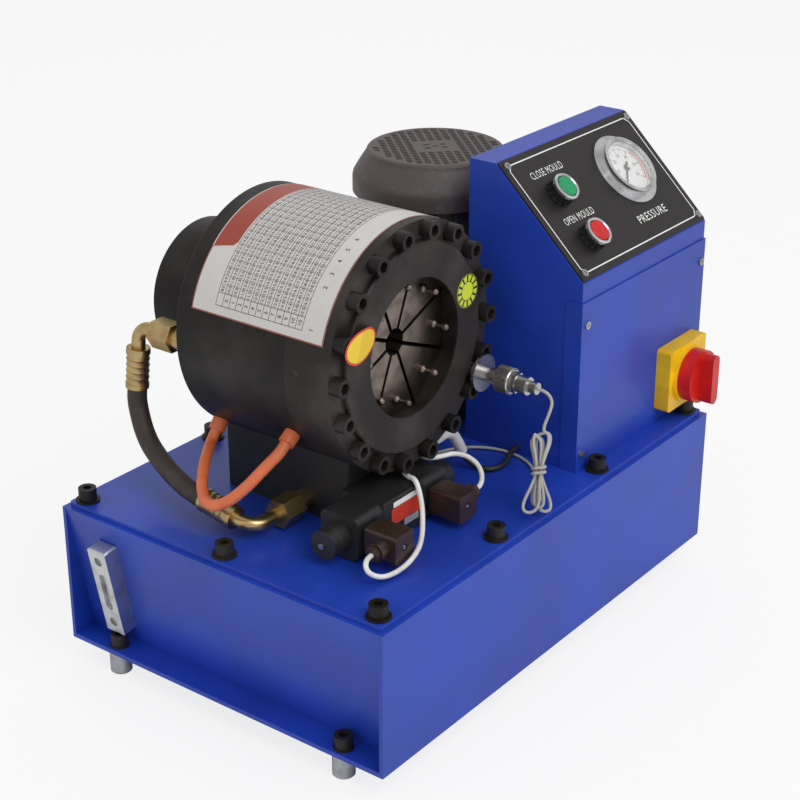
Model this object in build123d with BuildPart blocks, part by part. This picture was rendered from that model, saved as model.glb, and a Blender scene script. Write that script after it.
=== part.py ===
from build123d import *
import os
from math import atan2, cos, hypot, radians, sin, sqrt, tan

# Bench hose crimping machine: an oil tank on four feet carries the crimping head, the motor
# with its pump, the control cabinet and the solenoid valve.
# Millimetres. X runs along the tank, Y from the operator's side to the back, Z up.
# The origin is the centre of the four feet on the floor.

# ---------------------------------------------------------------- driving dimensions
# tank
tank_length = 580.0
tank_depth = 400.0
tank_height = 150.0
plate = 4.0
floor_plate = 5.0
end_wall_slope = 29.0
rim_width = 30.0
lid_thickness = 5.0
lid_inset = 5.0
lid_bolt_inset = 18.0
foot_radius = 11.0
foot_height = 24.0
foot_inset_x = 12.0
foot_inset_y = 55.0
tank_bolt_radius = 5.0
tank_bolt_head_radius = 9.0
tank_bolt_head_height = 12.0
tank_bolt_socket = 8.0
tank_washer_radius = 12.0
tank_washer_thickness = 2.0
foot_washer_radius = 10.0
foot_bolt_depth = 9.0
foot_hole_depth = 12.0

# level gauge on the left end wall
level_gauge_length = 102.0
level_gauge_width = 24.0
level_gauge_thickness = 17.0
level_gauge_from_back = 56.0
level_gauge_up_wall = 76.0
level_window_length = 44.0
level_window_width = 9.0
level_window_depth = 8.0
level_screw_pitch = 76.0
level_screw_recess_radius = 5.0

# crimping head, measured from the tank's left and front edges and above the lid
head_from_left = 191.0
head_from_front = 108.0
head_height = 175.0
head_radius = 122.5
head_length = 192.0
ring_thickness = 57.0
face_radius = 103.5
face_step = 5.0
opening_radius = 68.0
opening_land = 2.0
seat_angle = 20.0
bolt_circle_radius = 113.5
ring_bolt_count = 18
ring_bolt_radius = 6.0
ring_bolt_head_radius = 9.0
ring_bolt_head_height = 12.0
ring_bolt_socket = 10.0
ring_bolt_grip = 22.0
bore_radius = 103.0
rear_wall = 12.0
rear_cylinder_radius = 72.0
rear_cylinder_length = 80.0
rear_end_wall = 10.0
saddle_half_width = 62.0
saddle_front_depth = 33.0
saddle_rear_depth = 188.0

# dies
die_count = 8
die_face_depth = 25.0
die_length = 91.0
die_taper_length = 26.0
die_slot = 4.0
insert_radius = 48.0
crimp_radius = 13.5
pull_pin_circle = 59.0
pull_pin_stem_radius = 2.5
pull_pin_collar_radius = 4.4
pull_pin_ball_radius = 3.8
pull_pin_reach = 20.0
pull_pin_hole_depth = 24.0

# piston
piston_seat_length = 50.0
piston_floor = 8.0
piston_hole_radius = 42.0
piston_tail_radius = 50.0
piston_tail_length = 84.0

# motor and pump
motor_from_left = 438.0
motor_from_front = 268.0
motor_height = 283.0
motor_core_radius = 75.0
motor_fin_radius = 82.0
motor_fin_thickness = 3.0
motor_fin_count = 28
motor_flange_radius = 84.0
motor_flange_thickness = 12.0
cowl_height = 38.0
cowl_radius = 88.0
cowl_top_radius = 72.0
cowl_shoulder = 25.0
cowl_wall = 2.0
shaft_radius = 12.0
rotor_radius = 45.0
motor_end_wall = 15.0
motor_shield = 8.0
air_gap = 0.5
fan_radius = 64.0
fan_blade_count = 7
pump_bell_radius = 48.0
pump_bell_length = 52.0
pump_length = 56.0
pump_width = 74.0
strainer_radius = 22.0
strainer_length = 26.0

# control cabinet
cabinet_from_left = 361.0
cabinet_from_front = 32.0
cabinet_width = 244.0
cabinet_depth = 137.0
cabinet_front_height = 204.0
cabinet_slope_rise = 103.0
cabinet_slope_run = 107.0
cabinet_wall = 3.0
cover_height = 184.0
cover_thickness = 1.5
cover_return = 18.0
panel_thickness = 2.0
panel_margin = 1.5
screw_radius = 2.0
screw_head_radius = 4.0
screw_head_height = 2.4
cover_screw_low = 19.0
cover_screw_high = 160.0
cover_screw_inset = 7.5
panel_screw_inset = 9.0

# pressure gauge, along the panel from its left and lower edges
gauge_along = 172.0
gauge_up = 87.0
gauge_flange_radius = 41.5
gauge_flange_thickness = 3.0
gauge_bezel_radius = 34.0
gauge_bezel_height = 9.0
gauge_dial_radius = 30.0
gauge_dial_depth = 6.0
gauge_glass_thickness = 1.5
gauge_body_radius = 31.0
gauge_body_depth = 28.0
needle_length = 24.0
needle_width = 2.4
needle_sweep = 270.0

# push buttons
button_along = 53.0
close_button_up = 93.0
open_button_up = 38.0
button_bezel_radius = 15.0
button_bezel_height = 12.0
button_cap_radius = 11.5
button_cap_height = 4.0
button_body_radius = 11.0
button_body_depth = 42.0
button_stem_radius = 4.0
button_travel = 4.0

# rotary main switch on the cover
switch_from_right = 52.0
switch_above_lid = 49.5
switch_plate_width = 76.0
switch_plate_height = 70.0
switch_plate_thickness = 17.0
switch_collar_radius = 32.0
switch_collar_height = 4.0
switch_knob_radius = 29.0
switch_knob_height = 30.0
switch_grip_width = 14.0
switch_shaft_radius = 6.0

# solenoid valve in front of the saddle
valve_from_left = 149.0
valve_above_lid = 23.0
valve_axis_before_saddle = 28.6
valve_body_length = 62.0
valve_body_size = 45.0
coil_length = 38.0
coil_size = 44.0
coil_cap_radius = 14.5
coil_cap_length = 24.0
plug_size = 28.0
plug_depth = 36.0
plug_foot = 4.0
gland_radius = 9.0
gland_length = 17.0
gland_nut_radius = 6.5
spool_radius = 8.0
spool_pin_radius = 3.0
spool_travel = 3.0

# position stop with its sensor and size dial on the front ring
stop_angle = -30.0
stop_boss_radius = 10.0
stop_disc_radius = 19.0
stop_disc_thickness = 3.0
stop_rod_radius = 5.0
stop_sleeve_radius = 8.0
stop_sleeve_length = 17.0
dial_radius = 13.0
dial_length = 17.0
sensor_radius = 9.0
sensor_length = 18.0
sensor_nose_radius = 6.0
sensor_nose_length = 10.0

# pressure hose and its fittings
hose_radius = 9.8
ferrule_radius = 10.9
hose_tube_radius = 7.0
hose_nut_flats = 27.0
hose_nut_length = 26.0
hose_adapter_radius = 10.5
hose_adapter_length = 16.0
hose_elbow_radius = 16.0
hose_elbow_leg = 22.0
ferrule_length = 42.0
return_hose_radius = 5.5
return_collar_radius = 8.0
return_collar_length = 12.0

# cables
coil_cable_radius = 2.5
sleeve_radius = 6.0
lid_cable_radius = 3.0
sensor_cable_radius = 2.0
hank_radius = 5.0
hank_half_width = 8.0
hank_half_length = 31.0

# clearances
running_fit = 0.05
thread_clearance = 0.05
seat_gap = 0.05
loose_gap = 0.3

os.makedirs("parts", exist_ok=True)


# A cylinder that stands on its place, and one that hangs below it.
standing = (Align.CENTER, Align.CENTER, Align.MIN)
hanging = (Align.CENTER, Align.CENTER, Align.MAX)


def finish(builder, name):
    builder.part.label = name
    export_step(builder.part, f"parts/{name}.step")


def export_pieces(pieces, name):
    """Write several separate solids as one named group."""
    export_step(Compound(label=name, children=pieces), f"parts/{name}.step")


# ---------------------------------------------------------------- places worked out from the sizes
left = -tank_length / 2
front = -tank_depth / 2
base = foot_height
rim_top = base + tank_height
lid_top = rim_top + lid_thickness
head_x = left + head_from_left
head_y = front + head_from_front
head_z = lid_top + head_height
motor_x = left + motor_from_left
motor_y = front + motor_from_front
seat_slope = tan(radians(seat_angle))


def head_plane(depth):
    """Plane across the head's axis, a depth behind its front face, seen from the front."""
    return Plane(origin=(head_x, head_y + depth, head_z), x_dir=(1, 0, 0), z_dir=(0, -1, 0))


# ---------------------------------------------------------------- tank
inner_depth = tank_depth - 2 * plate
wall_run = end_wall_slope * (1 - floor_plate / tank_height)
foot_places = [
    (sx * (tank_length / 2 - foot_inset_x), sy * (tank_depth / 2 - foot_inset_y))
    for sx in (-1, 1)
    for sy in (-1, 1)
]
bolt_row = tank_length / 2 - lid_bolt_inset
bolt_column = tank_depth / 2 - lid_bolt_inset
lid_bolt_places = [
    (x, y)
    for x in (-bolt_row, -bolt_row / 3, bolt_row / 3, bolt_row)
    for y in (-bolt_column, bolt_column)
]
lid_bolt_places += [(-bolt_row, 0), (bolt_row, 0)]

with BuildPart() as tank_shell:
    with BuildSketch(Plane.XZ.offset(-inner_depth / 2)):
        with BuildLine():
            Polyline(
                (-tank_length / 2, rim_top),
                (tank_length / 2, rim_top),
                (tank_length / 2 - wall_run, base + floor_plate),
                (-tank_length / 2 + wall_run, base + floor_plate),
                close=True,
            )
        make_face()
    extrude(amount=inner_depth)
    with BuildSketch(Plane.XZ.offset(-inner_depth / 2 + 1)):
        with BuildLine():
            Polyline(
                (-tank_length / 2 + plate, rim_top - plate),
                (tank_length / 2 - plate, rim_top - plate),
                (tank_length / 2 - wall_run - plate, base + floor_plate),
                (-tank_length / 2 + wall_run + plate, base + floor_plate),
                close=True,
            )
        make_face()
    extrude(amount=inner_depth - 2, mode=Mode.SUBTRACT)
    with BuildSketch(Plane.XY.offset(rim_top)):
        Rectangle(tank_length - 2 * rim_width, tank_depth - 2 * rim_width)
    extrude(amount=-plate - 1, mode=Mode.SUBTRACT)
    with BuildSketch(Plane.XY.offset(base)):
        Rectangle(tank_length, tank_depth)
    extrude(amount=floor_plate)
    for side in (-1, 1):
        with BuildSketch(Plane.XY.offset(base)):
            with Locations((0, side * (tank_depth - plate) / 2)):
                Rectangle(tank_length, plate)
        extrude(amount=tank_height)
    with Locations(*[(x, y, rim_top) for x, y in lid_bolt_places]):
        Hole(tank_bolt_radius, plate + 2)
    with Locations(*[(x, y, base + floor_plate) for x, y in foot_places]):
        Hole(tank_bolt_radius + loose_gap, floor_plate + 1)
finish(tank_shell, "tank_shell")

with BuildPart() as tank_lid:
    with BuildSketch(Plane.XY.offset(rim_top)):
        Rectangle(tank_length - 2 * lid_inset, tank_depth - 2 * lid_inset)
    extrude(amount=lid_thickness)
    with Locations(*[(x, y, lid_top) for x, y in lid_bolt_places]):
        Hole(tank_bolt_radius + loose_gap, lid_thickness + 1)
    with Locations((motor_x, motor_y, lid_top)):
        Hole(pump_bell_radius - 8, lid_thickness + 1)
    edges = tank_lid.edges().filter_by(Axis.Z).sort_by(Axis.X)
    chamfer(edges[0:2] + edges[-2:], 2)
finish(tank_lid, "tank_lid")


def tank_bolt(x, y, seat, grip, washer_radius):
    """One socket head bolt with its washer, added to the part under construction."""
    shank = tank_bolt_radius - thread_clearance
    head_top = tank_washer_thickness + tank_bolt_head_height
    with BuildSketch(Plane(origin=(x, y, seat), x_dir=(1, 0, 0), z_dir=(0, -1, 0))) as half:
        with BuildLine():
            Polyline(
                (0, -grip),
                (shank, -grip),
                (shank, 0),
                (washer_radius, 0),
                (washer_radius, tank_washer_thickness),
                (tank_bolt_head_radius, tank_washer_thickness),
                (tank_bolt_head_radius, head_top),
                (0, head_top),
                close=True,
            )
        make_face()
    revolve(half.sketch, axis=Axis((x, y, seat), (0, 0, 1)))
    with BuildSketch(Plane.XY.offset(seat + head_top)) as socket:
        with Locations((x, y)):
            RegularPolygon(tank_bolt_socket / 2, 6, major_radius=False)
    extrude(socket.sketch, amount=-tank_bolt_head_height / 2, mode=Mode.SUBTRACT)


with BuildPart() as tank_bolts:
    for x, y in lid_bolt_places:
        tank_bolt(x, y, lid_top, lid_thickness + plate, tank_washer_radius)
    for x, y in foot_places:
        tank_bolt(x, y, base + floor_plate, floor_plate + foot_bolt_depth, foot_washer_radius)
finish(tank_bolts, "tank_bolts")

with BuildPart() as feet:
    for x, y in foot_places:
        with Locations((x, y, 0)):
            Cylinder(foot_radius, foot_height, align=standing)
            Cylinder(tank_bolt_radius, foot_hole_depth, align=standing, mode=Mode.SUBTRACT)
        with Locations((x, y, foot_height)):
            Cylinder(
                tank_bolt_radius + loose_gap,
                foot_bolt_depth + loose_gap,
                align=hanging,
                mode=Mode.SUBTRACT,
            )
    chamfer(feet.edges().filter_by(GeomType.CIRCLE).group_by(Axis.Z)[0].group_by(SortBy.RADIUS)[-1], 1)
finish(feet, "feet")

# level gauge, square to the sloping end wall
wall_tilt = atan2(wall_run, tank_height - floor_plate)
wall_normal = (-cos(wall_tilt), 0, -sin(wall_tilt))
wall_up = (-sin(wall_tilt), 0, cos(wall_tilt))
gauge_on_wall = (
    left + wall_run * (1 - (level_gauge_up_wall - floor_plate) / (tank_height - floor_plate)),
    -front - level_gauge_from_back,
    base + level_gauge_up_wall,
)


def wall_plane(offset):
    """Plane on the left end wall, x up the wall, lifted outwards by an offset."""
    return Plane(origin=gauge_on_wall, x_dir=wall_up, z_dir=wall_normal).offset(offset)


with BuildPart() as level_gauge_body:
    with BuildSketch(wall_plane(0)):
        Rectangle(level_gauge_length, level_gauge_width)
    extrude(amount=level_gauge_thickness)
    chamfer(level_gauge_body.faces().sort_by(Axis.X)[0].edges(), 1.5)
    with BuildSketch(wall_plane(level_gauge_thickness)):
        SlotOverall(level_window_length, level_window_width)
    extrude(amount=-level_window_depth, mode=Mode.SUBTRACT)
    for side in (-1, 1):
        with BuildSketch(wall_plane(level_gauge_thickness)):
            with Locations((side * level_screw_pitch / 2, 0)):
                Circle(level_screw_recess_radius)
        extrude(amount=-4, mode=Mode.SUBTRACT)
        with BuildSketch(wall_plane(level_gauge_thickness - 4)):
            with Locations((side * level_screw_pitch / 2, 0)):
                RegularPolygon(level_screw_recess_radius * 0.6, 6)
        extrude(amount=-3, mode=Mode.SUBTRACT)

with BuildPart() as level_gauge_glass:
    with BuildSketch(wall_plane(level_gauge_thickness - level_window_depth)):
        SlotOverall(level_window_length - 2 * loose_gap, level_window_width - 2 * loose_gap)
    extrude(amount=level_window_depth / 2)
export_pieces([level_gauge_body.part, level_gauge_glass.part], "level_gauge")

# ---------------------------------------------------------------- crimping head
seat_length = ring_thickness - opening_land
mouth_apothem = opening_radius + seat_length * seat_slope
die_apothem = opening_radius + (die_face_depth - opening_land) * seat_slope

with BuildPart() as head_saddle:
    with BuildSketch(Plane.XY.offset(lid_top)):
        with Locations((head_x, head_y + (saddle_front_depth + saddle_rear_depth) / 2)):
            Rectangle(2 * saddle_half_width, saddle_rear_depth - saddle_front_depth)
    extrude(amount=head_height)
    with BuildSketch(head_plane(0)):
        Circle(head_radius)
    extrude(amount=-head_length, mode=Mode.SUBTRACT)
    chamfer(head_saddle.edges().filter_by(Axis.Z), 2)
finish(head_saddle, "head_saddle")

with BuildPart() as front_ring:
    with BuildSketch(head_plane(face_step)):
        Circle(head_radius)
    extrude(amount=face_step - ring_thickness)
    with BuildSketch(head_plane(0)):
        Circle(face_radius)
    extrude(amount=-face_step)
    chamfer(front_ring.edges().filter_by(GeomType.CIRCLE).sort_by(Axis.Y)[0], 1.5)
    with BuildSketch(head_plane(0)):
        Circle(opening_radius)
    extrude(amount=-opening_land, mode=Mode.SUBTRACT)
    with BuildSketch(head_plane(opening_land)):
        RegularPolygon(opening_radius, die_count, major_radius=False, rotation=180 / die_count)
    extrude(amount=-seat_length, taper=-seat_angle, mode=Mode.SUBTRACT)
    with Locations(head_plane(face_step)):
        with PolarLocations(bolt_circle_radius, ring_bolt_count):
            Hole(ring_bolt_radius + loose_gap, ring_thickness)
finish(front_ring, "front_ring")

with BuildPart() as ring_bolts:
    with Locations(head_plane(face_step)):
        with PolarLocations(bolt_circle_radius, ring_bolt_count):
            Cylinder(ring_bolt_head_radius, ring_bolt_head_height, align=standing)
            Cylinder(
                ring_bolt_radius - thread_clearance,
                ring_thickness - face_step + ring_bolt_grip,
                align=hanging,
            )
    with BuildSketch(head_plane(face_step - ring_bolt_head_height)):
        with PolarLocations(bolt_circle_radius, ring_bolt_count):
            RegularPolygon(ring_bolt_socket / 2, 6, major_radius=False)
    extrude(amount=-ring_bolt_head_height / 2, mode=Mode.SUBTRACT)
finish(ring_bolts, "ring_bolts")

port_radius = 8.0
port_angle = 182.0
port_circle = 104.0
front_return = (-146.0, 66.0)
rear_return = (-130.0, 178.0)
return_port_radius = 5.0
return_port_depth = 4.0


def around_head(angle, radius, depth):
    """Point at an angle and radius about the head's axis, a depth behind its front face."""
    return (
        head_x + radius * cos(radians(angle)),
        head_y + depth,
        head_z + radius * sin(radians(angle)),
    )


def return_plane(port, radius):
    """Plane across a return port, square to the barrel's radius, facing outwards."""
    angle, depth = port
    outwards = (cos(radians(angle)), 0, sin(radians(angle)))
    return Plane(origin=around_head(angle, radius, depth), x_dir=(0, 1, 0), z_dir=outwards)


with BuildPart() as head_barrel:
    with BuildSketch(head_plane(ring_thickness)):
        Circle(head_radius)
    extrude(amount=ring_thickness - head_length)
    with BuildSketch(head_plane(ring_thickness)):
        Circle(bore_radius)
    extrude(amount=-(head_length - ring_thickness - rear_wall), mode=Mode.SUBTRACT)
    with BuildSketch(head_plane(head_length)):
        Circle(piston_tail_radius + 10)
    extrude(amount=rear_wall, mode=Mode.SUBTRACT)
    with Locations(head_plane(ring_thickness)):
        with PolarLocations(bolt_circle_radius, ring_bolt_count):
            Hole(ring_bolt_radius, ring_bolt_grip + 3)
    with BuildSketch(Plane(origin=around_head(port_angle, port_circle, head_length), z_dir=(0, 1, 0))):
        Circle(port_radius)
    extrude(amount=-rear_wall, mode=Mode.SUBTRACT)
    rear_edges = head_barrel.edges().filter_by(GeomType.CIRCLE).group_by(Axis.Y)[-1]
    chamfer(rear_edges.sort_by(SortBy.RADIUS)[-1], 2)
    for port in (front_return, rear_return):
        with BuildSketch(return_plane(port, head_radius - return_port_depth)):
            Circle(return_port_radius)
        extrude(amount=2 * return_port_depth, mode=Mode.SUBTRACT)
finish(head_barrel, "head_barrel")

with BuildPart() as rear_cylinder:
    with BuildSketch(head_plane(head_length)):
        Circle(rear_cylinder_radius)
    extrude(amount=-rear_cylinder_length)
    with BuildSketch(head_plane(head_length - rear_wall)):
        Circle(piston_tail_radius + 10 - running_fit)
    extrude(amount=-rear_wall)
    with BuildSketch(head_plane(head_length - rear_wall)):
        Circle(piston_tail_radius + running_fit)
    extrude(amount=-(rear_wall + rear_cylinder_length - rear_end_wall), mode=Mode.SUBTRACT)
    chamfer(rear_cylinder.edges().filter_by(GeomType.CIRCLE).group_by(Axis.Y)[-1], 3)
finish(rear_cylinder, "rear_cylinder")

# The piston's seat mirrors the ring's: same mouth and slope, facing the front.
piston_mouth_depth = die_face_depth + die_length - (mouth_apothem - die_apothem) / seat_slope
with BuildPart() as piston:
    with BuildSketch(head_plane(piston_mouth_depth)):
        Circle(bore_radius - running_fit)
    extrude(amount=-(piston_seat_length + piston_floor))
    with BuildSketch(head_plane(piston_mouth_depth)):
        RegularPolygon(mouth_apothem, die_count, major_radius=False, rotation=180 / die_count)
    extrude(amount=-piston_seat_length, taper=seat_angle, mode=Mode.SUBTRACT)
    with BuildSketch(head_plane(piston_mouth_depth + piston_seat_length + piston_floor)):
        Circle(piston_tail_radius)
    extrude(amount=-piston_tail_length)
    with BuildSketch(head_plane(piston_mouth_depth + piston_seat_length)):
        Circle(piston_hole_radius)
    extrude(amount=-(piston_floor + piston_tail_length), mode=Mode.SUBTRACT)
finish(piston, "piston")

# ---------------------------------------------------------------- dies
half_sector = 180 / die_count
slot_offset = die_slot / 2 / cos(radians(half_sector))
ridge_apothem = die_apothem + die_taper_length * seat_slope
face_gap = seat_gap / cos(radians(seat_angle))


def sector_half_width(radius):
    """Half width of one die's wedge at a radius, between its two slots."""
    return radius * tan(radians(half_sector)) - slot_offset


def die_plane(angle, depth):
    """Plane across the head's axis whose x points outwards along one die."""
    outwards = (cos(radians(angle)), 0, sin(radians(angle)))
    return Plane(origin=(head_x, head_y + depth, head_z), x_dir=outwards, z_dir=(0, -1, 0))


def die_side_plane(angle):
    """Plane through the head's axis and one die: x outwards, y to the front."""
    outwards = (cos(radians(angle)), 0, sin(radians(angle)))
    across = Vector(*outwards).cross(Vector(0, -1, 0))
    return Plane(origin=(head_x, head_y, head_z), x_dir=outwards, z_dir=across)


def wedge(inner, outer):
    """Corners of a die's cross section between two distances from the axis."""
    return [
        (inner, -sector_half_width(inner)),
        (outer, -sector_half_width(outer)),
        (outer, sector_half_width(outer)),
        (inner, sector_half_width(inner)),
    ]


for number in range(1, die_count + 1):
    angle = 360 / die_count * (number - 1)
    rear_depth = die_face_depth + die_length
    with BuildPart() as master_die:
        with BuildSketch(die_plane(angle, die_face_depth)):
            with BuildLine():
                Polyline(*wedge(insert_radius / 2, ridge_apothem), close=True)
            make_face()
            Circle(insert_radius + running_fit, mode=Mode.SUBTRACT)
        extrude(amount=-die_length)
        with BuildSketch(die_side_plane(angle).offset(-die_apothem)):
            with BuildLine():
                Polyline(
                    (0, -die_face_depth),
                    (die_apothem - face_gap, -die_face_depth),
                    (ridge_apothem - face_gap, -die_face_depth - die_taper_length),
                    (ridge_apothem - face_gap, -rear_depth + die_taper_length),
                    (die_apothem - face_gap, -rear_depth),
                    (0, -rear_depth),
                    close=True,
                )
            make_face()
        extrude(amount=2 * die_apothem, mode=Mode.INTERSECT)
        with BuildSketch(die_plane(angle, die_face_depth)):
            with Locations((pull_pin_circle, 0)):
                Circle(pull_pin_stem_radius + thread_clearance)
        extrude(amount=-pull_pin_hole_depth, mode=Mode.SUBTRACT)
    with BuildPart() as pull_pin:
        with BuildSketch(die_side_plane(angle)):
            face = -die_face_depth
            ball_centre = face + pull_pin_reach - pull_pin_ball_radius
            neck = pull_pin_stem_radius * 0.75
            ball_joint = ball_centre - sqrt(pull_pin_ball_radius**2 - neck**2)
            with BuildLine():
                Polyline(
                    (pull_pin_circle, ball_centre + pull_pin_ball_radius),
                    (pull_pin_circle, face - pull_pin_hole_depth + 2),
                    (pull_pin_circle + pull_pin_stem_radius, face - pull_pin_hole_depth + 2),
                    (pull_pin_circle + pull_pin_stem_radius, face),
                    (pull_pin_circle + pull_pin_collar_radius, face),
                    (pull_pin_circle + pull_pin_collar_radius, face + 4),
                    (pull_pin_circle + neck, face + 6),
                    (pull_pin_circle + neck, ball_joint),
                )
                ThreePointArc(
                    (pull_pin_circle + neck, ball_joint),
                    (pull_pin_circle + pull_pin_ball_radius, ball_centre),
                    (pull_pin_circle, ball_centre + pull_pin_ball_radius),
                )
            make_face()
        pin_point = around_head(angle, pull_pin_circle, 0)
        revolve(axis=Axis(pin_point, (0, 1, 0)))
    export_pieces([master_die.part, pull_pin.part], f"master_die_{number}")

    with BuildPart() as die_insert:
        with BuildSketch(die_plane(angle, die_face_depth)):
            with BuildLine():
                Polyline(*wedge(crimp_radius / 2, insert_radius + 5), close=True)
            make_face()
            Circle(insert_radius, mode=Mode.INTERSECT)
            Circle(crimp_radius, mode=Mode.SUBTRACT)
        extrude(amount=-die_length)
    finish(die_insert, f"die_insert_{number}")

# ---------------------------------------------------------------- stop, size dial and sensor
stop_base = around_head(stop_angle, bolt_circle_radius, face_step)
stop_boss_length = ring_bolt_head_height + 1
dial_start = stop_boss_length + stop_disc_thickness + stop_sleeve_length + loose_gap
sensor_start = dial_start + dial_length + loose_gap
sensor_end = sensor_start + sensor_length + sensor_nose_length


def stop_plane(distance):
    """Plane across the stop's axis, a distance in front of the ring's step."""
    return Plane(origin=stop_base, x_dir=(1, 0, 0), z_dir=(0, -1, 0)).offset(distance)


with BuildPart() as stop_rod:
    with BuildSketch(stop_plane(0)):
        Circle(stop_boss_radius)
    extrude(amount=stop_boss_length)
    with BuildSketch(stop_plane(stop_boss_length)):
        Circle(stop_disc_radius)
    extrude(amount=stop_disc_thickness)
    with BuildSketch(stop_plane(stop_boss_length + stop_disc_thickness)):
        Circle(stop_sleeve_radius)
    extrude(amount=stop_sleeve_length)
    with BuildSketch(stop_plane(0)):
        Circle(stop_rod_radius)
    extrude(amount=sensor_start)
finish(stop_rod, "stop_rod")

with BuildPart() as size_dial:
    with BuildSketch(stop_plane(dial_start)):
        Circle(dial_radius)
        Circle(stop_rod_radius + running_fit, mode=Mode.SUBTRACT)
    extrude(amount=dial_length)
    rims = size_dial.edges().filter_by(GeomType.CIRCLE).filter_by(lambda e: e.radius > dial_radius - 1)
    chamfer(rims, 1)
finish(size_dial, "size_dial")

with BuildPart() as stop_sensor:
    with BuildSketch(stop_plane(sensor_start)):
        RegularPolygon(sensor_radius * 1.2, 6)
    extrude(amount=sensor_length / 3)
    with BuildSketch(stop_plane(sensor_start)):
        Circle(sensor_radius)
    extrude(amount=sensor_length)
    with BuildSketch(stop_plane(sensor_start + sensor_length)):
        Circle(sensor_nose_radius)
    extrude(amount=sensor_nose_length)
finish(stop_sensor, "stop_sensor")

# ---------------------------------------------------------------- motor
motor_top = lid_top + motor_height
shield_top = motor_top - cowl_height
shield_bottom = shield_top - motor_shield
fin_bottom = lid_top + motor_flange_thickness + 4
fin_top = shield_bottom - 3

with BuildPart() as motor_housing:
    with Locations((motor_x, motor_y, lid_top)):
        Cylinder(motor_flange_radius, motor_flange_thickness, align=standing)
        Cylinder(motor_core_radius, shield_top - lid_top, align=standing)
    with Locations((motor_x, motor_y, shield_bottom)):
        Cylinder(cowl_radius, motor_shield, align=standing)
    with BuildSketch(Plane.XY.offset(fin_bottom)):
        with Locations((motor_x, motor_y)):
            with PolarLocations((motor_core_radius + motor_fin_radius) / 2 - 1, motor_fin_count):
                Rectangle(motor_fin_radius - motor_core_radius + 2, motor_fin_thickness)
    extrude(amount=fin_top - fin_bottom)
    with Locations((motor_x, motor_y, lid_top + motor_end_wall)):
        Cylinder(
            rotor_radius + air_gap,
            shield_top - lid_top - 2 * motor_end_wall,
            align=standing,
            mode=Mode.SUBTRACT,
        )
    with Locations((motor_x, motor_y, shield_top)):
        Hole(shaft_radius + running_fit, shield_top - lid_top + 1)
finish(motor_housing, "motor_housing")

grille_pitch_across = 11.0
grille_pitch_along = 24.0
grille_slot_width = 5.0
grille_slot_length = 19.0
grille_patch_radius = 17.0
grille_edge = 5.0


def open_slot(x, y):
    """Whether a grille slot centred here stays inside the flat top and off its centre."""
    reach = hypot(abs(x) + grille_slot_length / 2, abs(y) + grille_slot_width / 2)
    return reach < cowl_top_radius - grille_edge and hypot(x, y) > grille_patch_radius


grille_slots = [
    (column * grille_pitch_along, row * grille_pitch_across)
    for column in range(-3, 4)
    for row in range(-6, 7)
    if open_slot(column * grille_pitch_along, row * grille_pitch_across)
]

with BuildPart() as fan_cowl:
    with BuildSketch(Plane(origin=(motor_x, motor_y, motor_top), x_dir=(1, 0, 0), z_dir=(0, -1, 0))):
        with BuildLine():
            Polyline(
                (0, 0),
                (cowl_top_radius, 0),
                (cowl_radius, -cowl_shoulder),
                (cowl_radius, -cowl_height),
                (cowl_radius - cowl_wall, -cowl_height),
                (cowl_radius - cowl_wall, -cowl_shoulder - cowl_wall / 2),
                (cowl_top_radius - cowl_wall / 2, -cowl_wall),
                (0, -cowl_wall),
                close=True,
            )
        make_face()
    revolve(axis=Axis((motor_x, motor_y, 0), (0, 0, 1)))
    with BuildSketch(Plane.XY.offset(motor_top)):
        with Locations(*[(motor_x + x, motor_y + y) for x, y in grille_slots]):
            Rectangle(grille_slot_length, grille_slot_width)
    extrude(amount=-2 * cowl_wall, mode=Mode.SUBTRACT)
finish(fan_cowl, "fan_cowl")

shaft_bottom = rim_top - pump_bell_length - 10
fan_bottom = shield_top + 4
fan_height = 16.0

with BuildPart() as motor_rotor:
    with Locations((motor_x, motor_y, shaft_bottom)):
        Cylinder(shaft_radius, fan_bottom + fan_height - shaft_bottom, align=standing)
    with Locations((motor_x, motor_y, lid_top + motor_end_wall + 12)):
        Cylinder(
            rotor_radius,
            shield_top - lid_top - 2 * motor_end_wall - 24,
            align=standing,
        )
    with Locations((motor_x, motor_y, fan_bottom)):
        Cylinder(shaft_radius * 2, fan_height, align=standing)
        Cylinder(fan_radius, 2, align=standing)
    with BuildSketch(Plane.XY.offset(fan_bottom)):
        with Locations((motor_x, motor_y)):
            with PolarLocations((fan_radius + shaft_radius) / 2, fan_blade_count):
                Rectangle(fan_radius - shaft_radius - 2, 2)
    extrude(amount=fan_height)
    with Locations((motor_x, motor_y, shaft_bottom + 16)):
        Cylinder(shaft_radius * 1.8, 30, align=standing)
finish(motor_rotor, "motor_rotor")

bell_bottom = rim_top - pump_bell_length
with BuildPart() as pump_body:
    with Locations((motor_x, motor_y, rim_top)):
        Cylinder(pump_bell_radius, pump_bell_length, align=hanging)
    with BuildSketch(Plane.XY.offset(bell_bottom)):
        with Locations((motor_x, motor_y)):
            RectangleRounded(pump_width, pump_width, 6)
    extrude(amount=-pump_length)
    with Locations((motor_x, motor_y, bell_bottom - pump_length)):
        Cylinder(strainer_radius, strainer_length, align=hanging)
    with Locations((motor_x, motor_y, rim_top)):
        Cylinder(
            pump_bell_radius - 12,
            pump_bell_length,
            align=hanging,
            mode=Mode.SUBTRACT,
        )
    with Locations((motor_x, motor_y, bell_bottom)):
        Cylinder(
            shaft_radius + running_fit,
            bell_bottom - shaft_bottom + 2,
            align=hanging,
            mode=Mode.SUBTRACT,
        )
finish(pump_body, "pump_body")

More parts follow.
